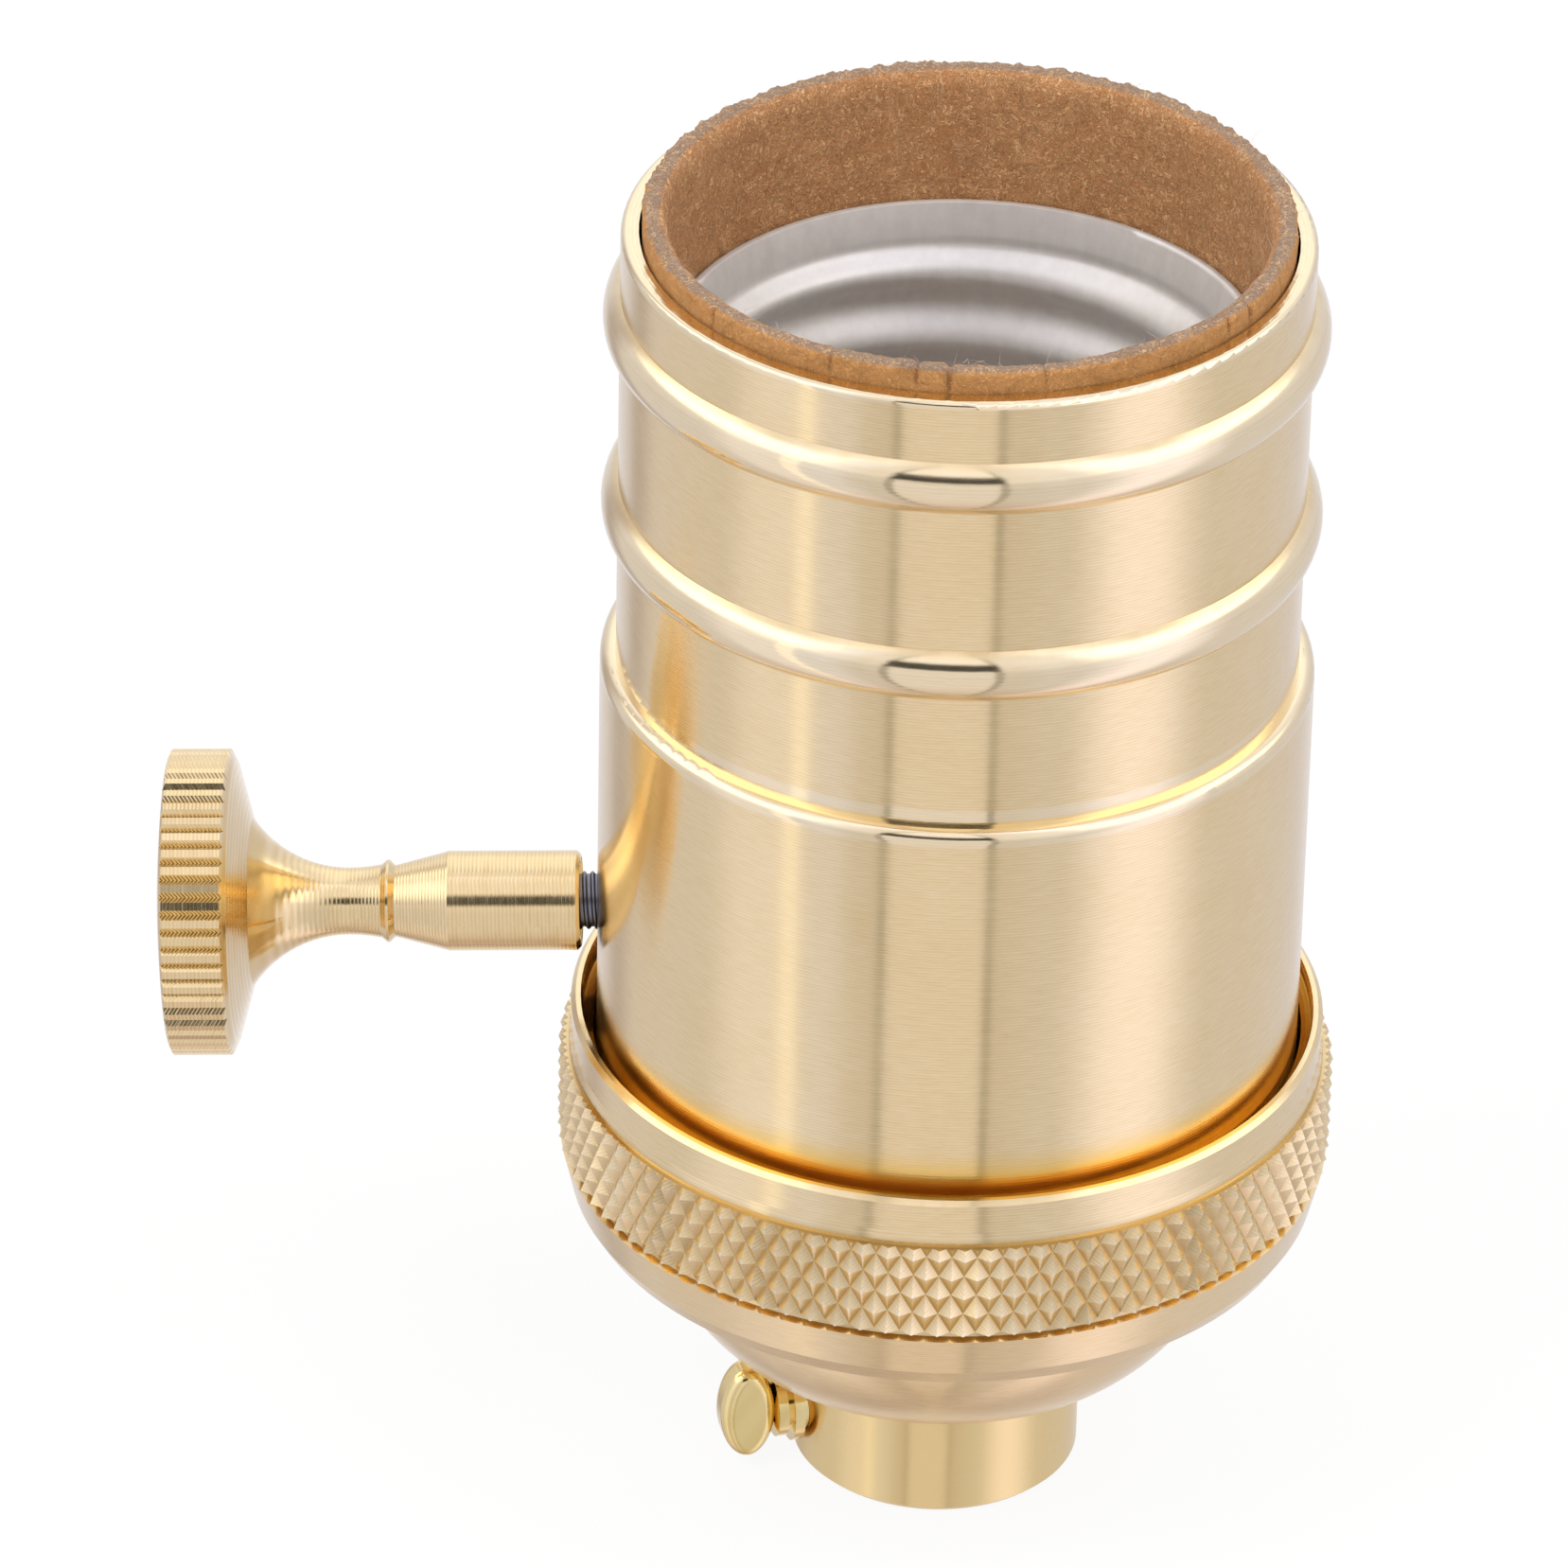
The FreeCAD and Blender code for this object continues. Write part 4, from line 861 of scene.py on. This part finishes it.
# --- Build -------------------------------------------------------------------------------------
def make_finishes():
    upright = {"axis_line": UPRIGHT, "axis": "Z"}
    along_shaft = {"axis_line": ON_SHAFT, "axis": "X"}
    turned = {"pitch": 0.155 * MM, "depth": 0.003 * MM, "roughness": 0.175, "anisotropic": 0.9}
    hub_stain = warm_tint_below(7.5 * MM, 9.5 * MM, HUB_STAIN, roughening=0.45)
    # Painted reflection: the gap's warm glow on the shell's foot.
    painted_foot_glow = warm_tint_below(26.2 * MM, 28.3 * MM, GAP_GLOW_PAINT)
    # The beads and edges: worn smoother, with a painted highlight.
    beads_and_edges = worn_highlight_bands(
        (54.06 * MM, 1.3 * MM), (64.1 * MM, 1.3 * MM), (45.9 * MM, 0.9 * MM), (68.7 * MM, 0.5 * MM)
    )
    return {
        "turned": brass("turned_brass", **upright, **turned, wear=(hub_stain, knurl_shade_and_highlights, shaded_bore)),
        "shell": brass("shell_brass", **upright, **turned, wear=(painted_foot_glow, beads_and_edges)),
        "knob": brass(
            "knob_brass",
            **along_shaft,
            pitch=0.19 * MM,
            depth=0.009 * MM,
            roughness=0.16,
            anisotropic=0.85,
            around=1.2,
            ripple=0.3,
            tones=KNOB_BRASS,
        ),
        "thumb": brass(
            "thumb_brass",
            **along_shaft,
            pitch=2.4 * MM,
            depth=0.002 * MM,
            roughness=0.12,
            anisotropic=0.1,
            around=2.0,
            tones=POLISHED_BRASS,
        ),
        # The threads take the darker brass as painted shade of the gap and the bore.
        "thread": brass(
            "shaded_thread_brass",
            **upright,
            pitch=0.3 * MM,
            depth=0.001 * MM,
            roughness=0.3,
            anisotropic=0.3,
            tones=SHADED_GAP_BRASS,
        ),
        "liner": fibre_board("liner_fibre", LINER_TONES, cut_height=69.6 * MM),
        "fuzz": plain_metal("fuzz_fibre", (0.55, 0.42, 0.32), 0.8, metallic=0.0),
        "disc": fibre_board("disc_fibre", DISC_TONES),
        "aluminium": rolled_aluminium("rolled_aluminium"),
        "strip": plain_metal("strip_brass", (0.78, 0.58, 0.30), 0.32),
        "nickel": plain_metal("nickel", (0.72, 0.70, 0.66), 0.28),
        "steel": plain_metal("zinc_steel", (0.25, 0.25, 0.27), 0.33),
        "phenolic": phenolic("phenolic"),
    }


NODE_FINISH = {
    "turned": ("cap",),
    "shell": ("outer_shell",),
    "knob": ("knob",),
    "thumb": ("thumb_screw",),
    "liner": ("fibre_liner",),
    "disc": ("insulating_disc",),
    "aluminium": ("screw_shell",),
    "strip": (
        "centre_contact",
        "contact_rivet",
        "body_rivets",
        "live_terminal",
        "live_wiper",
        "live_terminal_screw",
        "rotor_contact",
    ),
    "nickel": ("neutral_terminal", "neutral_terminal_screw"),
    "steel": ("switch_shaft", "retaining_clip", "detent_spring"),
    "phenolic": ("switch_block", "switch_cover", "switch_rotor"),
}

bpy.context.scene.view_settings.view_transform = "Standard"
make_camera()
studio_world()
make_floor()
make_lamps()
finishes = make_finishes()
for finish, names in NODE_FINISH.items():
    for name in names:
        nodes[name].data.materials.clear()
        nodes[name].data.materials.append(finishes[finish])
make_screw_sheet(finishes["aluminium"])
make_liner(finishes["liner"])
make_fuzz(finishes["fuzz"])
make_cap_thread(finishes["thread"])
make_hub_thread(finishes["thread"])
make_shaft_thread(finishes["steel"])
